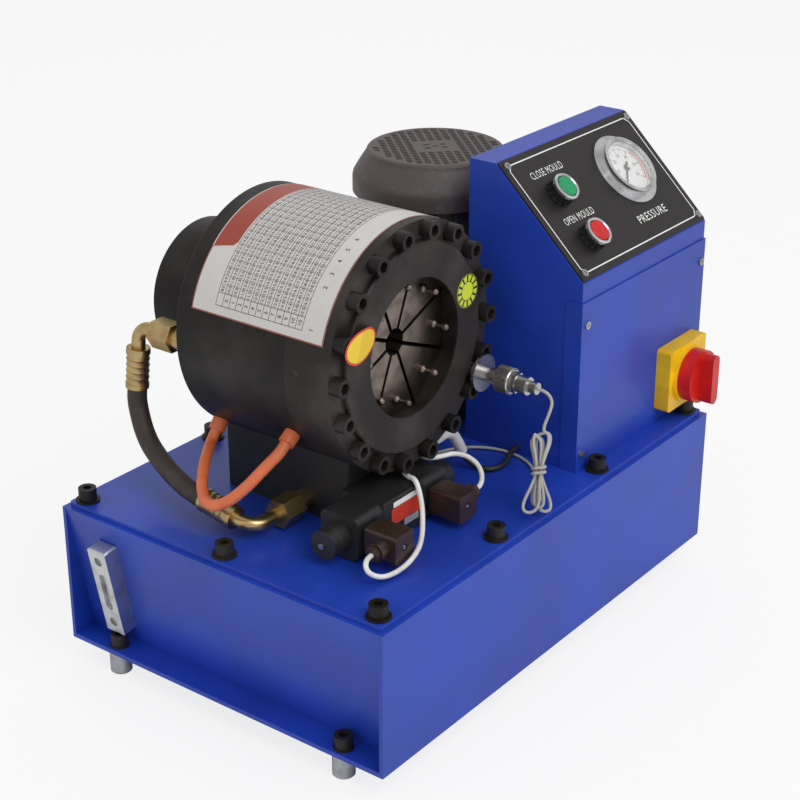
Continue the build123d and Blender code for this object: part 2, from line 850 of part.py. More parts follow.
# ---------------------------------------------------------------- control cabinet
cabinet_left = left + cabinet_from_left
cabinet_front = front + cabinet_from_front
cabinet_back = cabinet_front + cabinet_depth
slope_foot = lid_top + cabinet_front_height
cabinet_top = slope_foot + cabinet_slope_rise
slope_length = hypot(cabinet_slope_run, cabinet_slope_rise)
slope_up = (0, cabinet_slope_run / slope_length, cabinet_slope_rise / slope_length)
slope_out = (0, -cabinet_slope_rise / slope_length, cabinet_slope_run / slope_length)


def slope_plane(along, up, height):
    """Plane on the sloping panel, placed along it, up it and above it."""
    corner = Plane(origin=(cabinet_left, cabinet_front, slope_foot), x_dir=(1, 0, 0), z_dir=slope_out)
    return Plane(origin=corner.from_local_coords((along, up, height)), x_dir=(1, 0, 0), z_dir=slope_out)


def cabinet_profile(inset):
    """Side profile of the cabinet, drawn in from its faces by an inset."""
    slope_lift = inset * slope_length / cabinet_slope_run
    kink = slope_foot - slope_lift + inset * cabinet_slope_rise / cabinet_slope_run
    top = cabinet_top - inset
    corner_back = cabinet_front + inset + (top - kink) * cabinet_slope_run / cabinet_slope_rise
    return [
        (cabinet_front + inset, lid_top + inset),
        (cabinet_front + inset, kink),
        (corner_back, top),
        (cabinet_back - inset, top),
        (cabinet_back - inset, lid_top + inset),
    ]


panel_screws = [
    (x, y)
    for x in (panel_screw_inset, cabinet_width - panel_screw_inset)
    for y in (panel_screw_inset, slope_length - panel_screw_inset)
]
cover_screws = [
    (cabinet_left + x, lid_top + z)
    for x in (cover_screw_inset, cabinet_width - cover_screw_inset)
    for z in (cover_screw_low, cover_screw_high)
]
button_ups = (close_button_up, open_button_up)

with BuildPart() as control_cabinet:
    with BuildSketch(Plane.YZ.offset(cabinet_left)):
        with BuildLine():
            Polyline(*cabinet_profile(0), close=True)
        make_face()
    extrude(amount=cabinet_width)
    with BuildSketch(Plane.YZ.offset(cabinet_left + cabinet_wall)):
        with BuildLine():
            Polyline(*cabinet_profile(cabinet_wall), close=True)
        make_face()
    extrude(amount=cabinet_width - 2 * cabinet_wall, mode=Mode.SUBTRACT)
    with BuildSketch(slope_plane(0, 0, 0)):
        with Locations((gauge_along, gauge_up)):
            Circle(gauge_body_radius + loose_gap)
        with Locations(*[(button_along, up) for up in button_ups]):
            Circle(button_body_radius + loose_gap)
        with Locations(*panel_screws):
            Circle(screw_radius)
    extrude(amount=-2 * cabinet_wall, mode=Mode.SUBTRACT)
    with BuildSketch(Plane.XZ.offset(-cabinet_front)):
        with Locations(*cover_screws):
            Circle(screw_radius)
    extrude(amount=-cabinet_wall - 1, mode=Mode.SUBTRACT)
finish(control_cabinet, "control_cabinet")

with BuildPart() as cabinet_cover:
    with BuildSketch(Plane.XY.offset(lid_top)):
        with BuildLine():
            Polyline(
                (cabinet_left, cabinet_front),
                (cabinet_left, cabinet_front + cover_return),
                (cabinet_left - cover_thickness, cabinet_front + cover_return),
                (cabinet_left - cover_thickness, cabinet_front - cover_thickness),
                (cabinet_left + cabinet_width + cover_thickness, cabinet_front - cover_thickness),
                (cabinet_left + cabinet_width + cover_thickness, cabinet_front + cover_return),
                (cabinet_left + cabinet_width, cabinet_front + cover_return),
                (cabinet_left + cabinet_width, cabinet_front),
                close=True,
            )
        make_face()
    extrude(amount=cover_height)
    with BuildSketch(Plane.XZ.offset(cover_thickness - cabinet_front)):
        with Locations(*cover_screws):
            Circle(screw_radius + loose_gap)
    extrude(amount=-cover_thickness, mode=Mode.SUBTRACT)
finish(cabinet_cover, "cabinet_cover")

with BuildPart() as control_panel:
    with BuildSketch(slope_plane(0, 0, 0)):
        with Locations((cabinet_width / 2, slope_length / 2)):
            RectangleRounded(cabinet_width - 2 * panel_margin, slope_length - 2 * panel_margin, 2)
        with Locations((gauge_along, gauge_up)):
            Circle(gauge_body_radius + loose_gap, mode=Mode.SUBTRACT)
        with Locations(*[(button_along, up) for up in button_ups]):
            Circle(button_body_radius + loose_gap, mode=Mode.SUBTRACT)
        with Locations(*panel_screws):
            Circle(screw_radius + loose_gap, mode=Mode.SUBTRACT)
    extrude(amount=panel_thickness)
finish(control_panel, "control_panel")

screw_slot_width = 1.2
screw_slot_depth = 1.0
with BuildPart() as cabinet_screws:
    with BuildSketch(Plane.XZ.offset(cover_thickness - cabinet_front)):
        with Locations(*cover_screws):
            Circle(screw_head_radius)
    extrude(amount=screw_head_height)
    with BuildSketch(Plane.XZ.offset(cover_thickness - cabinet_front)):
        with Locations(*cover_screws):
            Circle(screw_radius - thread_clearance)
    extrude(amount=-cover_thickness - cabinet_wall)
    with BuildSketch(Plane.XZ.offset(cover_thickness + screw_head_height - cabinet_front)):
        with Locations(*cover_screws):
            Rectangle(screw_head_radius * 1.3, screw_slot_width)
            Rectangle(screw_slot_width, screw_head_radius * 1.3)
    extrude(amount=-screw_slot_depth, mode=Mode.SUBTRACT)
    with BuildSketch(slope_plane(0, 0, panel_thickness)):
        with Locations(*panel_screws):
            Circle(screw_head_radius)
    extrude(amount=screw_head_height)
    with BuildSketch(slope_plane(0, 0, panel_thickness)):
        with Locations(*panel_screws):
            Circle(screw_radius - thread_clearance)
    extrude(amount=-panel_thickness - cabinet_wall)
    with BuildSketch(slope_plane(0, 0, panel_thickness + screw_head_height)):
        with Locations(*panel_screws):
            Rectangle(screw_head_radius * 1.3, screw_slot_width)
            Rectangle(screw_slot_width, screw_head_radius * 1.3)
    extrude(amount=-screw_slot_depth, mode=Mode.SUBTRACT)
finish(cabinet_screws, "cabinet_screws")

# ---------------------------------------------------------------- pressure gauge
bezel_top = panel_thickness + gauge_flange_thickness + gauge_bezel_height
glass_seat = bezel_top - gauge_glass_thickness - 0.5
dial_face = bezel_top - gauge_dial_depth - 2
needle_pivot_radius = 1.5
needle_thickness = 0.8
glass_ledge = 1.5


def gauge_plane(height, turn=0):
    """Plane on the gauge's face, turned about its axis."""
    level = slope_plane(gauge_along, gauge_up, height)
    pointing = Vector(1, 0, 0) * cos(radians(turn)) + Vector(*slope_up) * sin(radians(turn))
    return Plane(origin=level.origin, x_dir=pointing, z_dir=slope_out)


with BuildPart() as gauge_case:
    with BuildSketch(gauge_plane(panel_thickness)):
        Circle(gauge_flange_radius)
    extrude(amount=gauge_flange_thickness)
    with BuildSketch(gauge_plane(panel_thickness)):
        Circle(gauge_bezel_radius)
    extrude(amount=gauge_flange_thickness + gauge_bezel_height)
    with BuildSketch(gauge_plane(panel_thickness)):
        Circle(gauge_body_radius)
    extrude(amount=-gauge_body_depth)
    with BuildSketch(gauge_plane(bezel_top)):
        Circle(gauge_dial_radius)
    extrude(amount=glass_seat - bezel_top, mode=Mode.SUBTRACT)
    with BuildSketch(gauge_plane(glass_seat)):
        Circle(gauge_dial_radius - glass_ledge)
    extrude(amount=dial_face - glass_seat, mode=Mode.SUBTRACT)
    with BuildSketch(gauge_plane(dial_face)):
        Circle(needle_pivot_radius)
    extrude(amount=3)
finish(gauge_case, "gauge_case")

# The needle rests at zero, low on the left of the dial.
needle_rest = -90 - (360 - needle_sweep) / 2
with BuildPart() as gauge_needle:
    with BuildSketch(gauge_plane(dial_face + 1, needle_rest)):
        Circle(needle_width * 1.6)
        with BuildLine():
            Polyline(
                (-needle_length / 3, -needle_width / 2),
                (needle_length, -needle_width / 8),
                (needle_length, needle_width / 8),
                (-needle_length / 3, needle_width / 2),
                close=True,
            )
        make_face()
        Circle(needle_pivot_radius + running_fit, mode=Mode.SUBTRACT)
    extrude(amount=needle_thickness)
finish(gauge_needle, "gauge_needle")

with BuildPart() as gauge_glass:
    with BuildSketch(gauge_plane(glass_seat)):
        Circle(gauge_dial_radius - running_fit)
    extrude(amount=gauge_glass_thickness)
finish(gauge_glass, "gauge_glass")

# ---------------------------------------------------------------- push buttons
button_floor = panel_thickness + 2
cap_bottom = button_floor + button_travel + 1
cap_top = panel_thickness + button_bezel_height + button_cap_height
stem_length = 22.0
stem_bore = stem_length + button_travel + 4

with BuildPart() as button_bezels:
    for up in button_ups:
        with BuildSketch(slope_plane(button_along, up, panel_thickness)):
            Circle(button_bezel_radius)
        extrude(amount=button_bezel_height)
        with BuildSketch(slope_plane(button_along, up, panel_thickness)):
            Circle(button_body_radius)
        extrude(amount=-button_body_depth)
        with BuildSketch(slope_plane(button_along, up, button_floor)):
            Circle(button_cap_radius + loose_gap)
        extrude(amount=button_bezel_height, mode=Mode.SUBTRACT)
        with BuildSketch(slope_plane(button_along, up, button_floor)):
            Circle(button_stem_radius + running_fit)
        extrude(amount=-stem_bore, mode=Mode.SUBTRACT)
finish(button_bezels, "button_bezels")

with BuildPart() as close_button:
    with BuildSketch(slope_plane(button_along, close_button_up, cap_bottom)):
        Circle(button_cap_radius)
    extrude(amount=cap_top - cap_bottom)
    fillet(close_button.faces().sort_by(Axis(origin=(0, 0, 0), direction=slope_out))[-1].edges(), 2)
    with BuildSketch(slope_plane(button_along, close_button_up, cap_bottom)):
        Circle(button_stem_radius)
    extrude(amount=-stem_length)
finish(close_button, "close_button")

with BuildPart() as open_button:
    with BuildSketch(slope_plane(button_along, open_button_up, cap_bottom)):
        Circle(button_cap_radius)
    extrude(amount=cap_top - cap_bottom)
    fillet(open_button.faces().sort_by(Axis(origin=(0, 0, 0), direction=slope_out))[-1].edges(), 2)
    with BuildSketch(slope_plane(button_along, open_button_up, cap_bottom)):
        Circle(button_stem_radius)
    extrude(amount=-stem_length)
finish(open_button, "open_button")

# ---------------------------------------------------------------- main switch
switch_x = cabinet_left + cabinet_width - switch_from_right
switch_z = lid_top + switch_above_lid
cover_front = cabinet_front - cover_thickness


def switch_plane(height):
    """Plane across the switch's axis, a height in front of the cover."""
    return Plane(origin=(switch_x, cover_front - height, switch_z), x_dir=(1, 0, 0), z_dir=(0, -1, 0))


knob_start = switch_plate_thickness + switch_collar_height + loose_gap
grip_start = knob_start + switch_knob_height / 2
with BuildPart() as switch_plate:
    with BuildSketch(switch_plane(0)):
        RectangleRounded(switch_plate_width, switch_plate_height, 4)
    extrude(amount=switch_plate_thickness)
    with BuildSketch(switch_plane(switch_plate_thickness)):
        Circle(switch_collar_radius)
    extrude(amount=switch_collar_height)
    with BuildSketch(switch_plane(switch_plate_thickness + switch_collar_height)):
        Circle(switch_shaft_radius + running_fit)
    extrude(amount=-switch_plate_thickness, mode=Mode.SUBTRACT)
finish(switch_plate, "switch_plate")

with BuildPart() as switch_knob:
    with BuildSketch(switch_plane(knob_start)):
        Circle(switch_knob_radius)
    extrude(amount=switch_knob_height / 2)
    with BuildSketch(switch_plane(grip_start)):
        SlotOverall(2 * switch_knob_radius - 2, switch_grip_width, rotation=90)
    extrude(amount=switch_knob_height / 2)
    with BuildSketch(switch_plane(knob_start)):
        Circle(switch_shaft_radius)
    extrude(amount=-switch_plate_thickness + 2)
finish(switch_knob, "switch_knob")

# ---------------------------------------------------------------- solenoid valve
valve_x = left + valve_from_left
valve_y = head_y + saddle_front_depth - valve_axis_before_saddle
valve_z = lid_top + valve_above_lid
coil_middle = valve_body_length / 2 + coil_length / 2
valve_reach = valve_body_length / 2 + coil_length + coil_cap_length
coil_front = valve_y - coil_size / 2
plug_front = coil_front - plug_foot - plug_depth
gland_y = plug_front + 14.6


def valve_plane(x):
    """Plane across the valve's axis at a distance along it."""
    return Plane(origin=(valve_x + x, valve_y, valve_z), x_dir=(0, 1, 0), z_dir=(1, 0, 0))


with BuildPart() as valve_body:
    with BuildSketch(valve_plane(-valve_body_length / 2)):
        Rectangle(valve_body_size, valve_body_size)
    extrude(amount=valve_body_length)
    with Locations((valve_x, valve_y + valve_axis_before_saddle, valve_z)):
        Box(
            valve_body_length,
            valve_axis_before_saddle - valve_body_size / 2,
            valve_body_size,
            align=(Align.CENTER, Align.MAX, Align.CENTER),
        )
    chamfer(valve_body.edges().filter_by(Axis.X).group_by(Axis.Y)[0], 1)
    with BuildSketch(valve_plane(-valve_body_length / 2)):
        Circle(spool_radius + running_fit)
    extrude(amount=valve_body_length, mode=Mode.SUBTRACT)
finish(valve_body, "valve_body")

with BuildPart() as valve_coils:
    for side in (-1, 1):
        with BuildSketch(valve_plane(side * coil_middle - coil_length / 2)):
            RectangleRounded(coil_size, coil_size, 7)
        extrude(amount=coil_length)
        cap_start = side * (valve_reach - coil_cap_length / 2) - coil_cap_length / 2
        with BuildSketch(valve_plane(cap_start)):
            Circle(coil_cap_radius)
        extrude(amount=coil_cap_length)
        with Locations((valve_x + side * coil_middle, coil_front, valve_z)):
            Box(plug_size - 6, plug_foot, plug_size - 6, align=(Align.CENTER, Align.MAX, Align.CENTER))
    with BuildSketch(valve_plane(-valve_reach)):
        Circle(spool_pin_radius + running_fit)
    extrude(amount=2 * valve_reach, mode=Mode.SUBTRACT)
    with BuildSketch(valve_plane(-valve_body_length / 2 - spool_travel - 1)):
        Circle(spool_radius + running_fit)
    extrude(amount=valve_body_length + 2 * spool_travel + 2, mode=Mode.SUBTRACT)
finish(valve_coils, "valve_coils")

with BuildPart() as valve_spool:
    with BuildSketch(valve_plane(-valve_body_length / 2)):
        Circle(spool_radius)
    extrude(amount=valve_body_length)
    with BuildSketch(valve_plane(-valve_reach - spool_travel)):
        Circle(spool_pin_radius)
    extrude(amount=2 * (valve_reach + spool_travel))
    for side in (-1, 1):
        with BuildSketch(valve_plane(side * valve_body_length / 5 - 4)):
            Circle(spool_radius)
            Circle(spool_pin_radius, mode=Mode.SUBTRACT)
        extrude(amount=8, mode=Mode.SUBTRACT)
finish(valve_spool, "valve_spool")

with BuildPart() as coil_plugs:
    for side in (-1, 1):
        with Locations((valve_x + side * coil_middle, coil_front - plug_foot, valve_z)):
            Box(plug_size, plug_depth, plug_size, align=(Align.CENTER, Align.MAX, Align.CENTER))
        gland_base = Plane(
            origin=(valve_x + side * (coil_middle + plug_size / 2), gland_y, valve_z),
            x_dir=(0, 1, 0),
            z_dir=(side, 0, 0),
        )
        with BuildSketch(gland_base):
            Circle(gland_radius)
        extrude(amount=gland_length - 5)
        with BuildSketch(gland_base):
            Circle(gland_nut_radius)
        extrude(amount=gland_length)
    fillet(coil_plugs.edges().filter_by(Axis.Y), 3)
    with BuildSketch(Plane.XZ.offset(-plug_front)):
        with Locations(*[(valve_x + side * coil_middle, valve_z) for side in (-1, 1)]):
            Circle(3.5)
    extrude(amount=-3, mode=Mode.SUBTRACT)
finish(coil_plugs, "coil_plugs")

# ---------------------------------------------------------------- hoses
def bend_radii(points):
    """Radius at each inner point: the widest bend both neighbouring runs leave room for."""
    radii = []
    for before, here, after in zip(points, points[1:], points[2:]):
        arriving = Vector(*here) - Vector(*before)
        leaving = Vector(*after) - Vector(*here)
        half_turn = radians(arriving.get_angle(leaving)) / 2
        radii.append(0.45 * min(arriving.length, leaving.length) / tan(half_turn))
    return radii


def tank_point(x, y, z):
    """A place measured from the tank's left and front edges and above its lid."""
    return Vector(left + x, front + y, lid_top + z)


def report_bends(name, radius, points):
    print(f"{name}: tube radius {radius:.1f}, bends {', '.join(f'{r:.0f}' for r in bend_radii(points))}")


def end_plane(point, onwards):
    """Plane at a tube's end, facing along the tube."""
    return Plane(origin=point, z_dir=onwards - point)


# Each elbow leaves its port along one line and points the hose along another.
upper_port = tank_point(87.0, head_from_front + head_length, 167.0)
upper_corner = tank_point(87.0, 366.5, 167.0)
upper_aim = Vector(-4.0, 3.5, -64.0).normalized()
lower_port = tank_point(head_from_left - saddle_half_width, 194.0, 15.5)
lower_corner = tank_point(51.5, 194.0, 15.5)
lower_aim = Vector(1.5, 60.0, 10.0).normalized()
hose_reach = hose_elbow_leg + ferrule_length
hose_top = upper_corner + upper_aim * hose_reach
hose_bottom = lower_corner + lower_aim * hose_reach
hose_points = [
    hose_top,
    hose_top + upper_aim * 14,
    tank_point(80.0, 366.0, 75.5),
    tank_point(76.5, 357.8, 61.5),
    tank_point(72.0, 345.5, 50.5),
    tank_point(67.0, 329.0, 42.5),
    tank_point(60.0, 305.0, 35.0),
    hose_bottom + lower_aim * 22,
    hose_bottom,
]

with BuildPart() as pressure_hose:
    with BuildLine():
        hose_path = FilletPolyline(*hose_points, radius=bend_radii(hose_points))
    with BuildSketch(end_plane(hose_points[0], hose_points[1])):
        Circle(hose_radius)
    sweep(path=hose_path)
finish(pressure_hose, "pressure_hose")
report_bends("pressure hose", hose_radius, hose_points)

fittings = []
for port, corner, aim in ((upper_port, upper_corner, upper_aim), (lower_port, lower_corner, lower_aim)):
    out = (corner - port).normalized()
    adapter_end = port + out * hose_adapter_length
    with BuildPart() as adapter:
        with BuildSketch(Plane(origin=port, z_dir=out)):
            Circle(hose_adapter_radius)
        extrude(amount=hose_adapter_length)
    with BuildPart() as elbow:
        with BuildLine():
            elbow_path = FilletPolyline(
                adapter_end, corner, corner + aim * (hose_elbow_leg + 5), radius=hose_elbow_radius
            )
        with BuildSketch(Plane(origin=adapter_end, z_dir=out)):
            Circle(hose_tube_radius)
        sweep(path=elbow_path)
        with BuildSketch(Plane(origin=corner + aim * hose_elbow_leg, z_dir=aim)):
            Circle(ferrule_radius)
        extrude(amount=ferrule_length)
    with BuildPart() as nut:
        with BuildSketch(Plane(origin=adapter_end, x_dir=(0, 0, 1), z_dir=out)):
            RegularPolygon(hose_nut_flats / 2, 6, major_radius=False, rotation=30)
            Circle(hose_tube_radius + running_fit, mode=Mode.SUBTRACT)
        extrude(amount=hose_nut_length)
    fittings += [adapter.part, elbow.part, nut.part]
export_pieces(fittings, "hose_fittings")

collar_foot = head_radius + loose_gap
collar_end = collar_foot + return_collar_length
rear_plane = return_plane(rear_return, collar_end)
front_plane = return_plane(front_return, collar_end)
return_points = [
    rear_plane.origin,
    rear_plane.origin + rear_plane.z_dir * 12,
    tank_point(80.0, 276.5, 58.0),
    tank_point(61.0, 264.0, 54.0),
    tank_point(43.0, 250.0, 45.5),
    tank_point(31.0, 235.0, 39.5),
    tank_point(26.5, 218.5, 41.5),
    tank_point(29.0, 201.5, 51.5),
    tank_point(41.5, 189.0, 66.0),
    tank_point(57.5, 180.5, 82.0),
    front_plane.origin + front_plane.z_dir * 12,
    front_plane.origin,
]
with BuildPart() as return_hose:
    with BuildLine():
        return_path = FilletPolyline(*return_points, radius=bend_radii(return_points))
    with BuildSketch(end_plane(return_points[0], return_points[1])):
        Circle(return_hose_radius)
    sweep(path=return_path)
report_bends("return hose", return_hose_radius, return_points)
return_pieces = [return_hose.part]
for port in (front_return, rear_return):
    with BuildPart() as return_collar:
        with BuildSketch(return_plane(port, collar_foot)):
            Circle(return_collar_radius)
        extrude(amount=return_collar_length)
        with BuildSketch(return_plane(port, collar_foot)):
            Circle(return_port_radius - running_fit)
        extrude(amount=-return_port_depth)
    return_pieces.append(return_collar.part)
export_pieces(return_pieces, "return_hose")

# ---------------------------------------------------------------- cables
gland_end = coil_middle + plug_size / 2 + gland_length
left_gland = Vector(valve_x - gland_end, gland_y, valve_z)
right_gland = Vector(valve_x + gland_end, gland_y, valve_z)
sleeve_start = tank_point(240.0, 128.0, 52.0)
side_by_side = Vector(0, coil_cable_radius + running_fit, 0)

left_points = [
    left_gland,
    left_gland - Vector(9, 0, 0),
    tank_point(54.0, 60.0, 14.0),
    tank_point(63.0, 51.5, 6.5),
    tank_point(80.0, 47.5, 5.0),
    tank_point(98.0, 45.5, 8.0),
    tank_point(115.0, 46.5, 15.0),
    tank_point(131.0, 54.5, 20.5),
    tank_point(147.0, 66.0, 24.0),
    tank_point(158.5, 75.0, 31.0),
    tank_point(165.0, 83.0, 42.0),
    tank_point(168.5, 91.0, 52.5),
    tank_point(172.5, 103.0, 49.5),
    tank_point(180.0, 114.0, 48.8),
    tank_point(193.0, 124.0, 48.8),
    tank_point(209.0, 129.7, 49.5),
    sleeve_start + side_by_side - Vector(14, 0, 0),
    sleeve_start + side_by_side,
]
with BuildPart() as solenoid_cable_left:
    with BuildLine():
        left_path = FilletPolyline(*left_points, radius=bend_radii(left_points))
    with BuildSketch(end_plane(left_points[0], left_points[1])):
        Circle(coil_cable_radius)
    sweep(path=left_path)
finish(solenoid_cable_left, "solenoid_cable_left")
report_bends("left solenoid cable", coil_cable_radius, left_points)

right_points = [
    right_gland,
    right_gland + Vector(8, 0, 0),
    tank_point(248.0, 68.0, 28.0),
    tank_point(252.5, 75.5, 38.0),
    tank_point(248.0, 86.0, 47.0),
    tank_point(237.0, 95.0, 52.0),
    tank_point(225.0, 99.5, 52.0),
    tank_point(216.0, 107.0, 51.0),
    tank_point(214.0, 116.5, 51.0),
    tank_point(219.0, 124.0, 51.5),
    sleeve_start - side_by_side - Vector(11, 0, 0),
    sleeve_start - side_by_side,
]
with BuildPart() as solenoid_cable_right:
    with BuildLine():
        right_path = FilletPolyline(*right_points, radius=bend_radii(right_points))
    with BuildSketch(end_plane(right_points[0], right_points[1])):
        Circle(coil_cable_radius)
    sweep(path=right_path)
finish(solenoid_cable_right, "solenoid_cable_right")
report_bends("right solenoid cable", coil_cable_radius, right_points)

sleeve_end = tank_point(297.0, 128.5, 21.0)
sleeve_aim = Vector(6.0, 0.0, -11.0).normalized()
sleeve_points = [
    sleeve_start,
    sleeve_start + Vector(14, 0, 0),
    tank_point(268.0, 128.0, 53.0),
    tank_point(280.0, 128.3, 47.0),
    sleeve_end - sleeve_aim * 13,
    sleeve_end,
]
with BuildPart() as cable_sleeve:
    with BuildLine():
        sleeve_path = FilletPolyline(*sleeve_points, radius=bend_radii(sleeve_points))
    with BuildSketch(end_plane(sleeve_points[0], sleeve_points[1])):
        Circle(sleeve_radius)
    sweep(path=sleeve_path)
finish(cable_sleeve, "cable_sleeve")
report_bends("cable sleeve", sleeve_radius, sleeve_points)

cabinet_entry = tank_point(cabinet_from_left, 103.0, 8.0)
lid_cable_height = lid_cable_radius + 0.3
lid_points = [
    sleeve_end,
    sleeve_end + sleeve_aim * 13,
    tank_point(305.5, 114.0, lid_cable_height),
    tank_point(307.0, 102.5, lid_cable_height),
    tank_point(318.5, 96.5, lid_cable_height),
    tank_point(334.0, 96.8, lid_cable_height + 0.5),
    cabinet_entry - Vector(13, 0, 0),
    cabinet_entry,
]
with BuildPart() as lid_cable:
    with BuildLine():
        lid_path = FilletPolyline(*lid_points, radius=bend_radii(lid_points))
    with BuildSketch(end_plane(lid_points[0], lid_points[1])):
        Circle(lid_cable_radius)
    sweep(path=lid_path)
finish(lid_cable, "lid_cable")
report_bends("lid cable", lid_cable_radius, lid_points)

# The spare sensor cable is tied in a hank that leans on the lid.
hank_centre = tank_point(270.0, 18.0, 41.5)
hank_along = Vector(0.3606, 0.2404, 0.9014).normalized()
hank_across = Vector(0.597, -0.801, 0.0)
hank_normal = hank_across.cross(hank_along).normalized()
hank_side = hank_along.cross(hank_normal)
hank_plane = Plane(origin=hank_centre, x_dir=hank_along, z_dir=hank_normal)
hank_reach = hank_half_length + hank_half_width + hank_radius
with BuildPart() as sensor_cable_hank:
    with BuildLine(hank_plane):
        near = Line((-hank_half_length, -hank_half_width), (hank_half_length, -hank_half_width))
        top_turn = JernArc(near @ 1, near % 1, hank_half_width, 180)
        far = Line(top_turn @ 1, (-hank_half_length, hank_half_width))
        JernArc(far @ 1, far % 1, hank_half_width, 180)
    with BuildSketch(Plane(origin=near @ 0, z_dir=near % 0)):
        Circle(hank_radius)
    sweep()
finish(sensor_cable_hank, "sensor_cable_hank")

sensor_exit = stop_plane(sensor_end).origin
sensor_points = [
    sensor_exit,
    sensor_exit - Vector(0, 10, 0),
    tank_point(290.0, 17.5, 110.5),
    tank_point(288.5, 18.5, 100.0),
    hank_centre + hank_along * (hank_reach + 12),
    hank_centre + hank_along * (hank_reach + running_fit),
]
with BuildPart() as sensor_cable:
    with BuildLine():
        sensor_path = FilletPolyline(*sensor_points, radius=bend_radii(sensor_points))
    with BuildSketch(end_plane(sensor_points[0], sensor_points[1])):
        Circle(sensor_cable_radius)
    sweep(path=sensor_path)
finish(sensor_cable, "sensor_cable")
report_bends("sensor cable", sensor_cable_radius, sensor_points)

tail_height = sensor_cable_radius + 0.2
tail_entry = tank_point(head_from_left + saddle_half_width, 172.0, tail_height)
hank_out = hank_half_width + hank_radius + 0.1
hank_foot = hank_centre - hank_along * (hank_half_length - 8) + hank_side * hank_out
tail_points = [
    hank_foot,
    hank_foot + hank_side * 12,
    tank_point(283.0, 22.0, tail_height),
    tank_point(303.0, 39.0, tail_height),
    tank_point(326.0, 56.0, tail_height),
    tank_point(346.0, 76.0, tail_height),
    tank_point(356.0, 101.0, tail_height),
    tank_point(354.0, 128.0, tail_height),
    tank_point(340.0, 151.0, tail_height),
    tank_point(318.0, 166.0, tail_height),
    tank_point(292.0, 172.0, tail_height),
    tail_entry,
]
with BuildPart() as sensor_cable_tail:
    with BuildLine():
        tail_path = FilletPolyline(*tail_points, radius=bend_radii(tail_points))
    with BuildSketch(end_plane(tail_points[0], tail_points[1])):
        Circle(sensor_cable_radius)
    sweep(path=tail_path)
finish(sensor_cable_tail, "sensor_cable_tail")
report_bends("sensor cable tail", sensor_cable_radius, tail_points)
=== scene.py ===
from math import cos, hypot, pi, radians, sin

import bmesh
import bpy
from mathutils import Matrix, Vector


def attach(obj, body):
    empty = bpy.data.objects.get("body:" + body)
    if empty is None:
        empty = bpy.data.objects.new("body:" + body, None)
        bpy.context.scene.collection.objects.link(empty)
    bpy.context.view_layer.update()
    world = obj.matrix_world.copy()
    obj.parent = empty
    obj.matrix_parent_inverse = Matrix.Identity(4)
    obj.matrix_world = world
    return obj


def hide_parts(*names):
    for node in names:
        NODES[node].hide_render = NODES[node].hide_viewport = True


bl_info = {
    "name": "Hose Crimper Dressing",
    "version": (1, 0, 0),
    "blender": (4, 5, 0),
    "location": "View3D > Sidebar > Crimper",
    "description": "Finishes, cables, labels and studio for a bench hose crimping machine",
    "category": "Object",
}

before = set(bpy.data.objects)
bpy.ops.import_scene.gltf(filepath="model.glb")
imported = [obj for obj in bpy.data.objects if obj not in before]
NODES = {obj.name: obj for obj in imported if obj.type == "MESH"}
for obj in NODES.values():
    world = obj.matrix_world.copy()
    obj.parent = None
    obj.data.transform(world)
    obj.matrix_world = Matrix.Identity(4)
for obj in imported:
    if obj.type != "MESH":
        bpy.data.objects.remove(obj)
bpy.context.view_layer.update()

# ---- places on the machine
# In metres, unless a line says millimetres.
RIGHT = Vector((1, 0, 0))
BACK = Vector((0, 1, 0))
UP = Vector((0, 0, 1))
HEAD = Vector((-0.099, -0.092, 0.354))
HEAD_RADIUS = 0.1225
TANK_LEFT, TANK_FRONT, LID_TOP = -290, -200, 179  # millimetres
SLOPE_CORNER = Vector((0.071, -0.168, 0.383))
SLOPE_LENGTH = hypot(0.107, 0.103)
SLOPE_UP = Vector((0, 0.107, 0.103)) / SLOPE_LENGTH
SLOPE_OUT = Vector((0, -0.103, 0.107)) / SLOPE_LENGTH
SLOPE_WIDTH = 244.0  # millimetres, as are the next three
PRINT_HEIGHT = 2.25
GAUGE_CENTRE, GAUGE_FACE = (172.0, 87.0), 6.05
BUTTON_PLACES = ((53, 93.0), (53, 38.0))
VALVE = Vector((-0.141, -0.0876, 0.202))
PLUG_PLACES = ((-0.191, -1), (-0.091, 1))  # x, and the side that the gland points to
PLUG_BACK, PLUG_FACE = -0.135, -0.1482
DIAL_FACE = Vector((-0.000706, -0.1363, 0.29725))
MOTOR_X, MOTOR_Y = 0.148, 0.068


def tank_point(x, y, z):
    """A place in millimetres from the tank's left and front edges and above its lid."""
    return Vector((x + TANK_LEFT, y + TANK_FRONT, z + LID_TOP)) / 1000


def panel_point(along, up, height=0.0):
    """A place in millimetres along the sloping panel, up it and above it."""
    return SLOPE_CORNER + RIGHT * along / 1000 + SLOPE_UP * up / 1000 + SLOPE_OUT * height / 1000


def head_point(angle, radius, depth):
    """A place about the head's axis: an angle, a radius and a depth behind the front face."""
    x, z = polar(radius, radians(angle))
    return HEAD + Vector((x, depth, z))


def polar(radius, turn):
    return radius * cos(turn), radius * sin(turn)


def circle(radius, steps):
    """Points round a circle."""
    return [polar(radius, 2 * pi * k / steps) for k in range(steps)]


# ---- sizes and colours to change
def colour(name, description, default):
    """A colour for the sidebar."""
    return bpy.props.FloatVectorProperty(
        name=name, description=description, default=default,
        subtype="COLOR", size=3, min=0, max=1)


